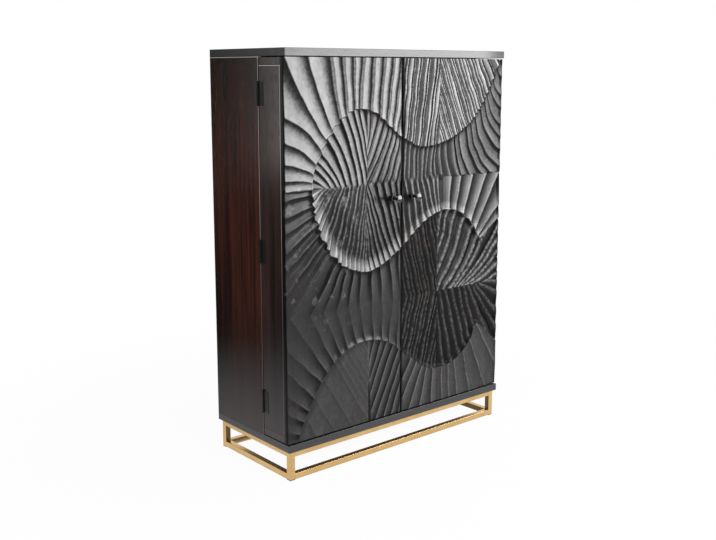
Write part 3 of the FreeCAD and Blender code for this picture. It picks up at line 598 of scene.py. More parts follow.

# %% [markdown]
# A fan is a row of cuts, each a line from one point (x, z) to another, and a flute is what lies between
# two neighbouring cuts. Where a fan is regular only a few cuts are written: count says how many there
# are in all, and uneven how far their spacing strays. A bow bends the cuts by a share of their length,
# given for some of them. The list follows the doors from the top: the left door's sunrise, the four
# quarters of its round leaf, the band under it and the hill at its foot, then the right door's tongue,
# band, sunk leaf and foot.
#
# The other words say how a fan is cut and how light and shade are painted on it. Tone names how the painted
# light and shade lie across a flute, and a second tone takes over after the flute that change names, or else
# here and there. Ratio is a flute's depth to its width, and grow how that changes along it. Mixed is how much
# the flutes differ, wander how far the hand strays in millimetres, and comb the fine marks of the gouge, cut
# into the surface and painted as shade. Wear is how pale the painted highlight on the ridges is, partly real
# wear, and worn how wide that is, bare how much paler the whole lit side is painted, and shine how bright the
# fan is painted, partly as a thicker coat, from its first flute to its last.

# %% The fans of cuts
RIDGE_HIGHLIGHT_WIDTH = 3.0
FAN = dict(count=None, uneven=0, change=None, ratio=0.13, grow=(1.0, 1.0), mixed=0.1, wander=1.1, wear_and_painted_highlight=0.2,
           worn_and_highlit=RIDGE_HIGHLIGHT_WIDTH, painted_lit_side=0, comb=0.05, gloss_and_painted_light=(1.0, 1.0), bow=[(0, 0)])
TONGUE = dict(uneven=0.5, tone=("line", "stripe"), ratio=0.07, mixed=0.35, wander=1.6, wear_and_painted_highlight=0.6, comb=0.14)
SUNK = dict(count=13, uneven=0.4, tone=("reed",), ratio=0.1, mixed=0.5, wander=1.6, worn_and_highlit=5.0)
FANS = {
    "sunrise": dict(
        tone=("ramp", "lip"), change=6, ratio=0.035, mixed=0.05, wear_and_painted_highlight=0.15, painted_lit_side=0.2,
        bow=[(0, 0.03), (4, 0.09), (5, -0.03), (9, 0)], cuts=[
        (-505, 952, -388, 956), (-493, 988, -388, 975), (-493, 1038, -380, 998), (-493, 1105, -370, 1025),
        (-493, 1182, -345, 1060), (-493, 1365, -335, 1112), (-407, 1375, -307, 1138),
        (-320, 1375, -279, 1170), (-268, 1375, -249, 1193), (-222, 1375, -216, 1203),
        (-180, 1375, -197, 1205), (-133, 1375, -146, 1202), (-86, 1375, -106, 1182),
        (-43, 1375, -72, 1160), (-5, 1375, -43, 1132), (25, 1300, -24, 1122), (60, 1300, 5, 1105)]),
    "leaf_upper_left": dict(
        tone=("flat",), ratio=0.07, wear_and_painted_highlight=0.3, gloss_and_painted_light=(0.85, 0.85),
        bow=[(0, 0.02), (2, 0.05), (6, 0.05), (11, 0)], cuts=[
        (-388, 957, -345, 954), (-385, 985, -340, 956), (-378, 1020, -315, 956), (-365, 1040, -290, 956),
        (-350, 1065, -272, 956), (-330, 1115, -248, 956), (-305, 1135, -223, 956),
        (-271, 1175, -198, 956), (-246, 1190, -174, 957), (-216, 1200, -160, 990),
        (-193, 1203, -160, 1060), (-168, 1205, -157, 1150)]),
    "leaf_upper_right": dict(
        tone=("lip",), ratio=0.07, mixed=0.25, wander=1.6, gloss_and_painted_light=(0.9, 0.9), bow=[(0, 0.03)], cuts=[
        (-160, 1205, -162, 1150), (-143, 1195, -161, 1063), (-108, 1175, -161, 1038),
        (-79, 1160, -160, 995), (-60, 1140, -154, 963), (-43, 1130, -114, 957), (-24, 1120, -85, 957),
        (-7, 1110, -55, 957), (10, 1080, -24, 957), (30, 1070, 8, 957)]),
    "leaf_lower_left": dict(
        count=16, uneven=0.3, tone=("faint",), ratio=0.08, mixed=0.3, wander=1.5, wear_and_painted_highlight=0.35,
        gloss_and_painted_light=(0.6, 0.75), cuts=[
        (-158, 820, -160, 655), (-162, 840, -178, 660), (-164, 910, -203, 665), (-172, 954, -228, 677),
        (-200, 954, -262, 692), (-224, 954, -292, 716), (-247, 954, -322, 750), (-271, 954, -346, 790),
        (-286, 953, -367, 833), (-311, 953, -380, 875), (-336, 953, -388, 908), (-345, 954, -390, 945)]),
    "leaf_lower_right": dict(
        tone=("flat",), ratio=0.1, mixed=0.15, wear_and_painted_highlight=0.25, gloss_and_painted_light=(0.36, 0.45), cuts=[
        (15, 955, 35, 840), (-24, 954, 5, 800), (-52, 954, 4, 745), (-82, 954, -10, 725),
        (-116, 954, -32, 708), (-150, 952, -52, 695), (-158, 938, -76, 684), (-162, 905, -98, 675),
        (-162, 860, -123, 664), (-161, 820, -145, 658), (-160, 800, -163, 655)]),
    "under_leaf": dict(
        tone=("fall",), ratio=0.09, grow=(1.4, 0.25), mixed=0.2, wander=1.5, wear_and_painted_highlight=0.12, gloss_and_painted_light=(1.0, 0.68),
        cuts=[
        (15, 725, 30, 540), (-18, 715, -5, 540), (-57, 690, -37, 540), (-100, 665, -90, 540),
        (-140, 655, -137, 540), (-188, 658, -193, 540), (-218, 668, -243, 540), (-248, 678, -292, 540),
        (-267, 690, -348, 540), (-292, 704, -405, 540), (-322, 742, -482, 540), (-347, 772, -500, 622),
        (-365, 805, -500, 697), (-378, 838, -500, 755), (-388, 868, -500, 818), (-390, 900, -500, 872),
        (-390, 942, -500, 925), (-388, 956, -505, 958)]),
    "over_hill": dict(
        tone=("fall", "flat"), change=12, ratio=0.06, grow=(0.2, 0.35, 1.2), wander=1.4, wear_and_painted_highlight=0.1,
        gloss_and_painted_light=(0.95, 0.95), cuts=[
        (25, 545, 10, 345), (-10, 545, -22, 373), (-38, 545, -62, 393), (-90, 545, -90, 406),
        (-137, 545, -130, 414), (-193, 545, -168, 417), (-243, 545, -205, 413), (-292, 545, -246, 400),
        (-348, 545, -275, 390), (-405, 545, -307, 366), (-482, 545, -337, 340), (-500, 445, -360, 310),
        (-500, 375, -392, 262), (-500, 290, -412, 222), (-500, 230, -432, 188), (-500, 170, -450, 150),
        (-500, 110, -470, 95)]),
    "hill_left": dict(
        count=13, tone=("even",), ratio=0.007, wear_and_painted_highlight=0.03, cuts=[
        (-480, 165, -420, 70), (-295, 350, -155, 130), (-230, 410, -150, 285), (-180, 430, -150, 383)]),
    "hill_right": dict(
        tone=("fall",), ratio=0.08, wear_and_painted_highlight=0.15, cuts=[
        (-158, 414, -156, 380), (-131, 406, -152, 333), (-103, 392, -150, 276), (-78, 387, -154, 205),
        (-45, 375, -150, 145), (-12, 366, -118, 137), (0, 328, -84, 134), (0, 255, -49, 132),
        (2, 187, -12, 131), (20, 187, 10, 131)]),
    "tongue_left": dict(
        TONGUE, count=15, cuts=[
        (-25, 1375, -50, 1070), (100, 1375, 58, 1070), (230, 1375, 178, 1070)]),
    "tongue_right": dict(
        TONGUE, count=28, cuts=[
        (46, 1375, 176, 1070), (116, 1375, 246, 1070), (186, 1375, 318, 1072), (266, 1375, 402, 1092),
        (356, 1375, 484, 1135), (485, 1375, 550, 1290)]),
    "band_upper": dict(
        count=24, uneven=0.2, tone=("reed", "fall"), change=11, ratio=0.08, mixed=0.3, wander=1.4,
        wear_and_painted_highlight=0.15, gloss_and_painted_light=(0.52, 0.6), bow=[(0, -0.03), (11, -0.05), (16, -0.12)], cuts=[
        (-15, 1110, -20, 957), (10, 1095, 2, 957), (37, 1085, 26, 957), (63, 1078, 57, 957),
        (86, 1073, 80, 957), (117, 1070, 104, 957), (140, 1070, 130, 957), (163, 1073, 160, 957),
        (172, 1076, 180, 957), (217, 1085, 243, 957), (257, 1100, 295, 957), (292, 1112, 358, 957),
        (333, 1140, 430, 957), (355, 1155, 498, 957), (390, 1190, 505, 1035), (415, 1225, 505, 1090),
        (430, 1265, 505, 1160), (448, 1295, 505, 1215), (470, 1335, 505, 1290), (490, 1380, 515, 1350)]),
    "band_lower_left": dict(
        tone=("reed",), ratio=0.1, gloss_and_painted_light=(0.7, 0.7), cuts=[
        (-20, 954, 5, 725), (2, 954, 28, 745), (26, 954, 60, 772), (57, 954, 88, 795),
        (80, 954, 120, 812), (104, 954, 143, 822), (130, 954, 163, 830), (160, 954, 175, 833),
        (180, 954, 186, 834), (243, 954, 232, 836)]),
    "band_lower_right": dict(
        tone=("facet",), gloss_and_painted_light=(0.85, 0.85), cuts=[
        (180, 954, 186, 834), (243, 954, 232, 836), (295, 954, 267, 828), (358, 954, 307, 808),
        (430, 954, 347, 776), (498, 954, 372, 745), (505, 837, 388, 722), (510, 785, 396, 712),
        (510, 735, 396, 690)]),
    "sunk_upper_left": dict(
        SUNK, wear_and_painted_highlight=0.1, gloss_and_painted_light=(0.2, 0.2), cuts=[
        (-40, 740, 15, 540), (170, 835, 225, 635)]),
    "sunk_lower_left": dict(
        SUNK, wear_and_painted_highlight=0.15, gloss_and_painted_light=(0.3, 0.3), cuts=[
        (15, 544, -40, 344), (225, 449, 170, 249)]),
    "sunk_upper_right": dict(
        tone=("reed",), mixed=0.2, wander=1.6, wear_and_painted_highlight=0.5, worn_and_highlit=6.0, gloss_and_painted_light=(0.53, 0.53), bow=[(0, 0.07)],
        cuts=[
        (176, 850, 174, 790), (192, 800, 176, 740), (225, 795, 176, 670), (262, 780, 186, 610),
        (310, 757, 206, 570), (365, 740, 230, 545), (394, 722, 254, 540), (505, 778, 275, 540),
        (505, 735, 295, 540), (505, 672, 317, 540), (505, 635, 345, 540), (505, 578, 378, 540),
        (505, 545, 420, 540)]),
    "sunk_lower_right": dict(
        tone=("reed",), mixed=0.3, wander=1.6, wear_and_painted_highlight=0.15, worn_and_highlit=5.0, gloss_and_painted_light=(0.35, 0.35), cuts=[
        (170, 500, 188, 250), (174, 525, 228, 252), (198, 544, 270, 266), (232, 544, 308, 288),
        (266, 544, 338, 315), (298, 544, 360, 340), (325, 544, 385, 380), (345, 544, 505, 298),
        (365, 544, 505, 362), (382, 544, 505, 432), (405, 544, 505, 500), (430, 546, 505, 541)]),
    "foot_left": dict(
        tone=("slope",), ratio=0.07, cuts=[
        (-10, 372, -45, 270), (48, 320, 2, 245), (74, 303, 5, 180), (100, 280, 35, 128),
        (123, 266, 88, 128), (154, 256, 147, 128), (199, 252, 202, 128), (232, 255, 240, 128)]),
    "foot_right": dict(
        tone=("even",), ratio=0.04, gloss_and_painted_light=(0.78, 0.78), cuts=[
        (154, 256, 147, 128), (199, 252, 202, 128), (232, 255, 240, 128), (266, 264, 284, 128),
        (312, 290, 350, 128), (350, 325, 440, 128), (385, 385, 505, 195), (388, 390, 515, 290)]),
}
FANS = {name: {**FAN, **fan} for name, fan in FANS.items()}


def scatter(k, phase=0.0):
    """A number from -1 to 1 for the cut or flute k that looks like chance: sin(2.4 k^2 + phase)."""
    return np.sin(2.4 * k**2 + phase)


def fan_cuts(fan):
    """All cuts of a fan: count of them, spaced along the written rows, or just those rows."""
    rows = np.array(fan["cuts"], float)
    at = np.arange(fan["count"] or len(rows), dtype=float)
    at[1:-1] += fan["uneven"] * (0.5 * np.cos(np.pi * at[1:-1]) + 0.5 * scatter(at[1:-1]))
    at = at / at[-1] * (len(rows) - 1)
    return np.stack([np.interp(at, np.arange(len(rows)), rows[:, k]) for k in range(4)])


print("fans", len(FANS), "cuts", sum(fan_cuts(fan).shape[1] for fan in FANS.values()))

# %% [markdown]
# A gouge that is held at an angle leaves a lopsided hollow: a long gentle side and a short steep one. A tone
# is the painted light and shade at some points across the flute, counted from the cut on its lit side: bright
# on the gentle side, which faces the lamp, and dark on the steep one. Most tones are of hollows. A reed is
# the other way round, a rounded ridge between two cuts, and a shingle starts deep and painted dark and comes
# up to an edge painted bright. The depth goes with the flute's width, so the form stays where a fan narrows.
# A hand does not cut quite straight, so the board's coordinates wander by about a millimetre first.

# %% One flute's hollow
LOWEST_AT = 0.62
LIGHT_SIDE = (0.6, 0.8)
TONES = {
    "ramp": [(0, 0.4), (0.06, 1.0), (0.42, 0.9), (0.66, 0.6), (0.84, 0.27), (0.94, 0.1), (1, 0.04)],
    "flat": [(0, 0.25), (0.1, 1.0), (0.48, 0.9), (0.7, 0.28), (0.85, 0.05), (1, 0.03)],
    "fall": [(0, 0.4), (0.08, 1.0), (0.5, 0.62), (0.85, 0.25), (1, 0.08)],
    "even": [(0, 0.8), (0.1, 1.0), (0.85, 0.9), (1, 0.7)],
    "lip": [(0, 0.04), (0.1, 0.36), (0.2, 0.4), (0.26, 0.26), (0.37, 1.0), (0.64, 0.95), (0.82, 0.28),
            (0.92, 0.03), (1, 0.02)],
    "slope": [(0, 0.5), (0.1, 1.0), (0.6, 0.72), (0.9, 0.5), (1, 0.2)],
    "reed": [(0, 0.06), (0.3, 0.35), (0.66, 1.0), (0.8, 0.6), (1, 0.06)],
    "stripe": [(0, 0.03), (0.1, 0.06), (0.28, 0.85), (0.5, 1.0), (0.72, 0.95), (0.9, 0.08), (1, 0.03)],
    "line": [(0, 0.04), (0.1, 0.08), (0.24, 0.33), (0.55, 0.37), (0.68, 1.0), (0.8, 0.8), (0.92, 0.07),
             (1, 0.03)],
    "faint": [(0, 0.2), (0.12, 0.48), (0.55, 0.52), (0.68, 1.0), (0.8, 0.8), (0.92, 0.35), (1, 0.2)],
    "facet": [(0, 0.0), (0.25, 0.06), (0.45, 0.25), (0.65, 0.62), (0.9, 1.0), (1, 1.0)],
}
REEDS = ("reed", "line", "stripe", "faint")
SHINGLES = ("facet",)
SHINGLE_FALL = 1.7
RIDGE_ROUND = 0.10
DEEPEST = 7.0
FADED = 0.62
COMB_SHADE = 0.06


def smooth(t):
    """0 below 0, 1 above 1 and t*t*(3 - 2t) between."""
    t = np.clip(t, 0, 1)
    return t * t * (3 - 2 * t)


def crown_of(tone):
    """Where across a flute, from 0 to 1, a tone is brightest."""
    at, level = zip(*TONES[tone])
    return at[int(np.argmax(level))]


def profile(u, tone):
    """Depth and painted light and shade across a flute, u from 0 to 1. A hollow is sin(pi * u^k) deep, with
    its lowest point at LOWEST_AT; a reed is that high, with its top at the crown; a shingle is (1 -
    u)^SHINGLE_FALL deep."""
    gloss_and_painted_light = np.interp(u, *zip(*TONES[tone]))
    if tone in SHINGLES:
        return (1 - u) ** SHINGLE_FALL, gloss_and_painted_light
    k = np.log(0.5) / np.log(crown_of(tone) if tone in REEDS else LOWEST_AT)
    wave = np.hypot(np.sin(np.pi * u**k), RIDGE_ROUND) - RIDGE_ROUND
    return (1 - wave if tone in REEDS else wave), gloss_and_painted_light


def flutes(name, x, z):
    """Depth in mm, painted light and coat, edge, and painted highlight and wear of a fan at (x, z), and the
    (x, z) in the middle of the flute.
    """
    fan = FANS[name]
    ax, az, bx, bz = (row[:, None] for row in fan_cuts(fan))
    long = np.hypot(bx - ax, bz - az)
    ux, uz = (bx - ax) / long, (bz - az) / long
    mid_x, mid_z = (ax + bx)[:, 0] / 2, (az + bz)[:, 0] / 2
    turn = np.sign(np.sum(np.diff(mid_x) * uz[:-1, 0] - np.diff(mid_z) * ux[:-1, 0]))
    px = (x + fan["wander"] * np.sin(z / 19 + 3 * np.sin(x / 41))).ravel()[None]
    pz = (z + fan["wander"] * np.sin(x / 23 + 3 * np.sin(z / 37))).ravel()[None]
    run = (px - ax) * ux + (pz - az) * uz
    t = np.clip(run / long, 0, 1)
    count = len(long)
    bow = np.interp(np.arange(count), *zip(*fan["bow"]))[:, None]
    past = turn * ((px - ax) * uz - (pz - az) * ux) - bow * long * 4 * t * (1 - t)
    k = np.clip((past > 0).sum(0) - 1, 0, count - 2)
    column = np.arange(past.shape[1])
    here, following, along = past[k, column], past[k + 1, column], run[k, column]
    width = np.maximum(here - following, 1.0)

    first, last = fan["tone"][0], fan["tone"][-1]
    # The side of each flute that faces LIGHT_SIDE gets the painted light.
    facing = turn * (uz * LIGHT_SIDE[0] - ux * LIGHT_SIDE[1])[k, 0]
    u = np.clip(here / width, 0, 1)
    u = np.where((facing > 0) | (first in SHINGLES), u, 1 - u)
    share = 1.0 * (scatter(k) > 0.1) if fan["change"] is None else np.clip(k - fan["change"], 0, 1)
    deep, tone = (1 - share) * np.array(profile(u, first)) + share * np.array(profile(u, last))
    grow = np.interp(t[k, column], np.linspace(0, 1, len(fan["grow"])), fan["grow"])
    shown = np.minimum(grow, 1)
    tone = FADED + (tone - FADED) * shown

    comb = np.sin(0.9 * here + 5 * k + 2 * np.sin(along / 35 + k))
    comb = comb + np.sin(1.25 * here - 3 * k + 2 * np.sin(along / 27 - k))
    deep = np.minimum(fan["ratio"] * width, DEEPEST) * grow * deep + fan["comb"] * comb
    # Painted light and shade: the tone, scaled by how bright the fan is painted and darkened along the comb
    # marks.
    gloss_and_painted_light = tone * np.interp(k, (0, count - 2), fan["gloss_and_painted_light"]) * (1 - COMB_SHADE * (2 + comb))
    gloss_and_painted_light = gloss_and_painted_light * (1 - fan["mixed"] * (0.5 + 0.5 * scatter(k, along / 45)))
    crown = crown_of(first) * width
    if first not in REEDS + SHINGLES:
        crown = np.minimum(crown, RIDGE_HIGHLIGHT_WIDTH)
    # Pale painted highlight on the crown of each flute, partly wear, and the lit side painted paler.
    wear_and_painted_highlight = fan["wear_and_painted_highlight"] * shown * np.exp(-((u * width - crown) / fan["worn_and_highlit"]) ** 2) + fan["painted_lit_side"] * tone

    on_x, on_z = ax + ux * run, az + uz * run
    middle_x = (on_x[k, column] + on_x[k + 1, column]) / 2
    middle_z = (on_z[k, column] + on_z[k + 1, column]) / 2
    rows = [deep, gloss_and_painted_light, 1 - tone, wear_and_painted_highlight, middle_x, middle_z]
    return np.stack(rows).reshape(6, *x.shape)


print("a flute 40 mm wide is", round(FAN["ratio"] * 40, 1), "mm deep")

# %% [markdown]
# Each band of the carving lies like a shingle: its flutes run out to the surface at its lower line, where the
# gouge came up, and the band below starts in a cove under that edge. So a band has a sink, the depth of its
# ridges, a cove under the line above it and a run-out over the line below it, and on every line the surface
# is back at the face of the board. Painted light brightens most run-outs and painted shade darkens the one of
# the sunk leaf over the foot line; a pale painted highlight lies on most of their rims, and painted shade
# darkens the coves. The tongue at the top right has only its fine flutes, and the leaf on the right door is
# sunk all over. A door front is glued up from three boards, and the flutes bend where two boards meet.

# %% The relief of each board
SOFT_EDGE = 1.3
COVE = 17.0
COVE_SHADE = 0.85
SQUARE_REACH = 45.0
JOINT_HIGH, JOINT_LOW = 955, 542
LEAF_AXIS, HILL_AXIS = -160, -155
TONGUE_AXIS, SUNK_AXIS, FACET_AXIS, FOOT_AXIS = 176, 176, 208, 178
NECK_FROM, NECK_LONG = 385, 60
BEND = 13.0
RIM_HIGHLIGHT = 0.35
BAND_SINK, RIGHT_SINK, LEAF_SINK = 2.6, 3.4, 4.0


def either(distance, here, there, soft=SOFT_EDGE):
    """here where distance is plus, there where it is minus, with a soft step 2 * soft mm wide."""
    share = smooth(distance / (2 * soft) + 0.5)
    return share * here + (1 - share) * there


def stepped(line, fan, x, z, most):
    """Distance above a line, read at the middle of the flute, so that it ends square; most is in mm."""
    over = above(line, x, z)
    square = np.clip(above(line, fan[4], fan[5]) - over, -most, most)
    return over + square * (1 - smooth(np.abs(over) / SQUARE_REACH))


def band(fan, sink, under=None, over=None, run=32.0, painted_run_out_light=0.8, neck=0.0, start=0.0, fade=0.7,
         rim=RIM_HIGHLIGHT):
    """A fan sunk by sink mm: a quarter-circle cove under a line, or a quarter-sine run-out over one."""
    deep, gloss_and_painted_light, edge, wear_and_painted_highlight = fan[:4]
    if under is not None:
        t = np.clip(under / COVE, 0, 1)
        cove = np.sqrt(1 - (1 - t) ** 2)
        deep = (deep + sink) * (neck + (1 - neck) * (start + (1 - start) * cove))
        # Painted shade in the cove under the line above.
        gloss_and_painted_light = gloss_and_painted_light * (1 - COVE_SHADE * (1 - neck) * (1 - start) * (1 - smooth(under / (1.6 * COVE))))
    elif over is not None:
        t = np.clip(over / run, 0, 1)
        near = (1 - neck) * (1 - smooth(t * 1.25 - 0.25))
        deep = deep * (neck + (1 - neck) * t**fade) + sink * (neck + (1 - neck) * np.sin(np.pi / 2 * t))
        # Painted light on the run-out, or painted shade where its value is below zero.
        gloss_and_painted_light = gloss_and_painted_light + painted_run_out_light * near * (1 - gloss_and_painted_light) * (1 - edge) if painted_run_out_light > 0 else gloss_and_painted_light * (1 + painted_run_out_light * near)
        # A pale painted highlight along the rim of the run-out.
        wear_and_painted_highlight = wear_and_painted_highlight + rim * (1 - neck) * np.exp(-(over / RIDGE_HIGHLIGHT_WIDTH) ** 2)
    else:
        deep = deep + sink
    return np.stack([deep, gloss_and_painted_light, wear_and_painted_highlight])


def across(axis, x, z, left, right):
    """Two fans side by side, which meet on an upright axis."""
    return either(x - axis, flutes(right, x, z), flutes(left, x, z))


def bent(joint, soft, z, upper, lower):
    """A fan over another, whose flutes bend on the joint between two boards."""
    return either(z - joint, upper, lower, soft)


def left_leaf(x, z):
    """The four quarters of the round leaf."""
    return bent(JOINT_HIGH, BEND, z, across(LEAF_AXIS, x, z, "leaf_upper_left", "leaf_upper_right"),
                across(LEAF_AXIS, x, z, "leaf_lower_left", "leaf_lower_right"))


def left_band(x, z):
    """The band between the waist and the foot line."""
    return bent(JOINT_LOW, BEND, z, flutes("under_leaf", x, z), flutes("over_hill", x, z))


def right_band(x, z):
    """The band between crest and waist: its left flutes bend on the joint, its right facets break off."""
    soft = np.where(x < FACET_AXIS, BEND, SOFT_EDGE)
    lower = across(FACET_AXIS, x, z, "band_lower_left", "band_lower_right")
    return bent(JOINT_HIGH, soft, z, flutes("band_upper", x, z), lower)


def left_top(x, z):
    """The sunrise over the crest, and the leaf's upper half, which starts in a cove on its right only."""
    sunrise = flutes("sunrise", x, z)
    over = stepped(crest, sunrise, x, z, np.interp(x, (-300, -200), (5.5, 1.5)))
    start = 0.9 * smooth((LEAF_AXIS - 10 - x) / 60)
    return either(over, band(sunrise, 3.0 * (1 - start), over=over, painted_run_out_light=0.3, rim=RIM_HIGHLIGHT + 0.4 * start),
                  band(left_leaf(x, z), BAND_SINK, under=-over, start=start))


def left_middle(x, z):
    """The lower half of the round leaf over the waist, and the band under it."""
    leaf = left_leaf(x, z)
    over = stepped(waist, leaf, x, z, np.interp(x, (-300, -150), (5.5, 1.5)))
    return either(over, band(leaf, 5.0, over=over, run=48, fade=1.4),
                  band(left_band(x, z), BAND_SINK, under=-over))


def left_low(x, z):
    """The band that comes down to the hill, and the hill at the foot."""
    over = above(foot, x, z)
    hill = across(HILL_AXIS, x, z, "hill_left", "hill_right")
    return either(over, band(left_band(x, z), BAND_SINK, over=over, run=26, painted_run_out_light=0.2, rim=0.0),
                  band(hill, 1.0, under=-over, start=0.5))


def right_top(x, z):
    """The tongue over the crest, and the band that starts deep under it."""
    tongue = across(TONGUE_AXIS, x, z, "tongue_left", "tongue_right")
    over = stepped(crest, tongue, x, z, 3)
    return either(over, tongue[[0, 1, 3]], band(right_band(x, z), RIGHT_SINK, under=-over, start=0.25))


def right_middle(x, z):
    """The band that comes down to the waist, and the upper half of the sunk leaf."""
    upper = right_band(x, z)
    over = stepped(waist, upper, x, z, 1.5)
    neck = np.clip((x - NECK_FROM) / NECK_LONG, 0, 1)
    sunk = across(SUNK_AXIS, x, z, "sunk_upper_left", "sunk_upper_right")
    return either(over, band(upper, RIGHT_SINK, over=over, run=30, neck=neck),
                  band(sunk, LEAF_SINK, under=-over, neck=neck))


def right_low(x, z):
    """The lower half of the sunk leaf, and the foot."""
    over = above(foot, x, z)
    neck = np.clip((x - NECK_FROM) / NECK_LONG, 0, 1)
    sunk = across(SUNK_AXIS, x, z, "sunk_lower_left", "sunk_lower_right")
    ground = across(FOOT_AXIS, x, z, "foot_left", "foot_right")
    return either(over, band(sunk, LEAF_SINK, over=over, run=16, painted_run_out_light=-0.9, neck=neck, rim=0.0),
                  band(ground, LEAF_SINK * neck))


sample = left_top(np.full(50, -200.0), np.linspace(960, 1360, 50))
print("deepest on a sample column", round(float(sample[0].max()), 2), "mm")

# %% [markdown]
# Each board becomes one closed mesh: a fine grid whose depth is the relief, side walls down to the back of
# the panel, and a plain back. The side walls share the grid's rim points and the back is a strip between its
# left and right columns, so no edge is left open. Smooth shading rounds the hollows, and edges steeper than a
# set angle stay sharp. Where the two doors meet the board's edge is eased, and painted shade darkens it there
# and along the door's outer edge. A painted shadow of each knob lies beside it, down and to the left. The
# painted light, shade and highlights, together with the coat and the wear, go into the mesh as values on
# every point.

# %% The carved door fronts
GRID_STEP = 1.65
SHARP_ANGLE = 55
EDGE_RISE = 14.0
EDGE_DEPTH = 0.45
KNOB_SHADOW_SIZE = 19.0
SHADOW_LEFT, SHADOW_DOWN = 11, 10
SEAM_EASED_AND_SHADED = 8.0
OUTSIDE_SHADED = 5.0
EASED_BY = 1.5


def new_piece(name, points, faces, body, material, sharp):
    """A smooth mesh with sharp edges over an angle in degrees, that rides on a body and has a slot."""
    mesh = bpy.data.meshes.new(name)
    mesh.from_pydata(points.tolist(), [], faces)
    mesh.polygons.foreach_set("use_smooth", np.ones(len(faces), bool))
    mesh.set_sharp_from_angle(angle=radians(sharp))
    mesh.materials.append(material)
    piece = bpy.data.objects.new(name, mesh)
    bpy.context.scene.collection.objects.link(piece)
    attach(piece, body)
    return piece


def grid_faces(index):
    """Quads between neighbours in a grid of point numbers, as an array of four numbers a row."""
    corners = [index[:-1, :-1], index[:-1, 1:], index[1:, 1:], index[1:, :-1]]
    return np.stack(corners, -1).reshape(-1, 4)


def carved_board(side, board, low_z, high_z, relief):
    """Board: (x, z) -> (x, front + depth(x, z), z) on a grid, with side walls and a flat back."""
    low, high = (np.array(corner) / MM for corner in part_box(f"{side}_door_front"))
    low_z, high_z = max(low[2], low_z), min(high[2], high_z)
    columns = int(round((high[0] - low[0]) / GRID_STEP)) + 1
    rows = int(round((high_z - low_z) / GRID_STEP)) + 1
    x, z = np.meshgrid(np.linspace(low[0], high[0], columns), np.linspace(low_z, high_z, rows))
    deep, gloss_and_painted_light, wear_and_painted_highlight = relief(x, z)
    if side == "right":
        deep = deep * (EDGE_DEPTH + (1 - EDGE_DEPTH) * smooth((high[0] - x) / EDGE_RISE))
    knob_x, knob_z = (np.mean([corner[k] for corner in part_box(f"{side}_knob")]) / MM for k in (0, 2))
    # Painted shadow of the knob: the value falls to 0 in a round spot down and to the left of it.
    unshaded = 1 - np.exp(-(np.hypot(x - knob_x + SHADOW_LEFT, z - knob_z + SHADOW_DOWN) / KNOB_SHADOW_SIZE) ** 4)
    to_seam, to_outside = (high[0] - x, x - low[0]) if side == "left" else (x - low[0], high[0] - x)
    # Where the doors meet the edge is eased for real, and the same band is painted dark as shade.
    eased_and_shaded = 1 - smooth(to_seam / SEAM_EASED_AND_SHADED)
    deep = deep + EASED_BY * eased_and_shaded
    # Painted shade along the door's outer edge; it and the knob's painted shadow take off the coat and the
    # pale highlight.
    unshaded = unshaded * (1 - eased_and_shaded) * smooth(to_outside / OUTSIDE_SHADED)
    gloss_and_painted_light, wear_and_painted_highlight = gloss_and_painted_light * unshaded, wear_and_painted_highlight * unshaded
    front = np.stack([x, low[1] + deep, z], -1).reshape(-1, 3)
    index = np.arange(rows * columns).reshape(rows, columns)
    count = rows * columns
    back_left, back_right = count + np.arange(rows), count + rows + np.arange(rows)
    behind = np.full(rows, high[1])
    back = [np.stack([np.full(rows, edge), behind, z[:, 0]], -1) for edge in (low[0], high[0])]
    walls = [np.stack([index[:-1, 0], index[1:, 0], back_left[1:], back_left[:-1]], -1),
             np.stack([index[1:, -1], index[:-1, -1], back_right[:-1], back_right[1:]], -1),
             np.stack([back_right[:-1], back_left[:-1], back_left[1:], back_right[1:]], -1)]
    faces = np.vstack([grid_faces(index), *walls]).tolist()
    faces.append([*index[0, ::-1].tolist(), int(back_left[0]), int(back_right[0])])
    faces.append([*index[-1].tolist(), int(back_right[-1]), int(back_left[-1])])
    piece = new_piece(f"{side}_front_{board}", np.vstack([front, *back]) * MM, faces, f"{side}_door",
                      carved_lacquer, SHARP_ANGLE)
    for label, values, rest in (("gloss_and_painted_light", gloss_and_painted_light, 0.5), ("wear_and_painted_highlight", wear_and_painted_highlight, 0.0)):
        values = np.concatenate([values.ravel(), np.full(2 * rows, rest)]).astype(np.float32)
        piece.data.attributes.new(label, "FLOAT", "POINT").data.foreach_set("value", values)
    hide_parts(f"{side}_door_front")
    print(piece.name, rows, "by", columns, "deepest", round(float(deep.max()), 2), "mm")
    return piece


BOARDS = {"top": (JOINT_HIGH, 2000), "middle": (JOINT_LOW, JOINT_HIGH), "low": (0, JOINT_LOW)}
RELIEFS = {"left": (left_top, left_middle, left_low), "right": (right_top, right_middle, right_low)}
for side, reliefs in RELIEFS.items():
    for (board, heights), relief in zip(BOARDS.items(), reliefs):
        carved_board(side, board, *heights, relief)

# %% [markdown]
# The knobs are turned: a collar on the door, a thin neck and a low domed head with a rounded rim. The
# model has them too, but its solid is faceted, and a polished knob shows that at once. So the same form
# is made as a smooth surface of revolution. The collar reaches a little into the carving, because a
# flute passes under it.

# %% The turned knobs
KNOB_PROFILE = [
    (-8, 0.01), (-8, 8), (0, 8), (2.2, 8), (3.4, 6.4), (6, 5.1), (12, 4.8), (18, 5.2), (24, 7.2),
    (28, 11.2), (30, 13.4), (31.4, 14), (32.6, 13.5), (33.6, 11.2), (34.4, 7.6), (34.85, 3.8), (35, 0.01),
]
KNOB_RADIUS = 14
KNOB_SHARP = 50
KNOB_SEGMENTS = 72


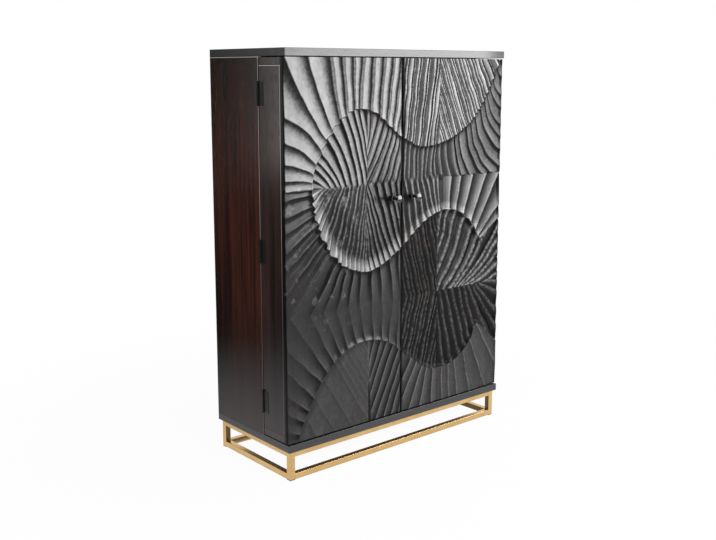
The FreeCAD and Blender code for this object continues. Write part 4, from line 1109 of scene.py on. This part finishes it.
def turned_knob(side):
    """Surface of revolution: (turn, along) -> (x + r cos(turn), front - along, z + r sin(turn)), with r
    from the profile."""
    low, high = (np.array(corner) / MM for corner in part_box(f"{side}_knob"))
    x, z = (low[0] + high[0]) / 2, (low[2] + high[2]) / 2
    along, r = np.array(KNOB_PROFILE).T
    line = smooth_line(KNOB_PROFILE[2:], 6)
    along = np.concatenate([along[:2], line[:, 0]])
    r = np.concatenate([r[:2], np.clip(line[:, 1], r[0], KNOB_RADIUS)])
    turn = 2 * np.pi * np.arange(KNOB_SEGMENTS) / KNOB_SEGMENTS
    front = low[1] + KNOB_PROFILE[-1][0]
    y = np.repeat((front - along)[:, None], KNOB_SEGMENTS, 1)
    points = np.stack([x + r[:, None] * np.cos(turn), y, z + r[:, None] * np.sin(turn)], -1)
    index = np.arange(len(r) * KNOB_SEGMENTS).reshape(len(r), KNOB_SEGMENTS)
    index = np.hstack([index, index[:, :1]])
    faces = grid_faces(index).tolist()
    faces.append(index[0, -2::-1].tolist())
    faces.append(index[-1, :-1].tolist())
    piece = new_piece(f"{side}_turned_knob", points.reshape(-1, 3) * MM, faces, f"{side}_door",
                      knob_metal, KNOB_SHARP)
    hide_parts(f"{side}_knob")
    print(piece.name, len(r), "rings, at", round(x), round(z))
    return piece


turned_knob("left")
turned_knob("right")

# %% [markdown]
# Every node that stays gets its finish here, by the part of the cabinet that it is. Boards that lie flat
# take the finish with the grain across. A node's own material slots are emptied first, so nothing of the
# plain model is left.

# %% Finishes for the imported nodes
DOOR_SIDES = ("left", "right")
FINISHES = {
    side_wood: ["left_side", "right_side"],
    board_lacquer: ["top_board", "bottom_board"],
    carved_lacquer: [f"{side}_door_front" for side in DOOR_SIDES],
    door_wood: [f"{side}_door_{board}_side" for side in DOOR_SIDES for board in ("outer", "inner")],
    door_wood_across: [f"{side}_door_{board}" for side in DOOR_SIDES for board in ("top", "bottom")],
    inner_wood: ["back_panel", "centre_divider"],
    inner_wood_across: ["serving_shelf", "upper_shelf", "lower_shelf", "wine_rack_rising",
                        "wine_rack_falling", "stemware_rails",
                        *[f"{side}_door_{board}_shelf" for side in DOOR_SIDES for board in ("low", "high")]],
    brass: [*[name for name in nodes if name.startswith("base_") and name != "base_screws"],
            *[f"{side}_door_rails" for side in DOOR_SIDES]],
    black_metal: ["hinge_frame_leaves", "hinge_pins", "hinge_frame_screws",
                  *[f"{side}_hinge_door_{piece}" for side in DOOR_SIDES for piece in ("leaves", "screws")]],
    knob_metal: [f"{side}_knob" for side in DOOR_SIDES],
    steel: ["shelf_pins", "base_screws", *[f"{side}_{piece}" for side in DOOR_SIDES
                                           for piece in ("knob_screw", "door_strikes")]],
    black_plastic: ["magnetic_catches", "floor_glides"],
}
dressed = set()
for material, names in FINISHES.items():
    for name in names:
        nodes[name].data.materials.clear()
        nodes[name].data.materials.append(material)
        dressed.add(name)
print("dressed", len(dressed), "left plain", sorted(set(nodes) - dressed))
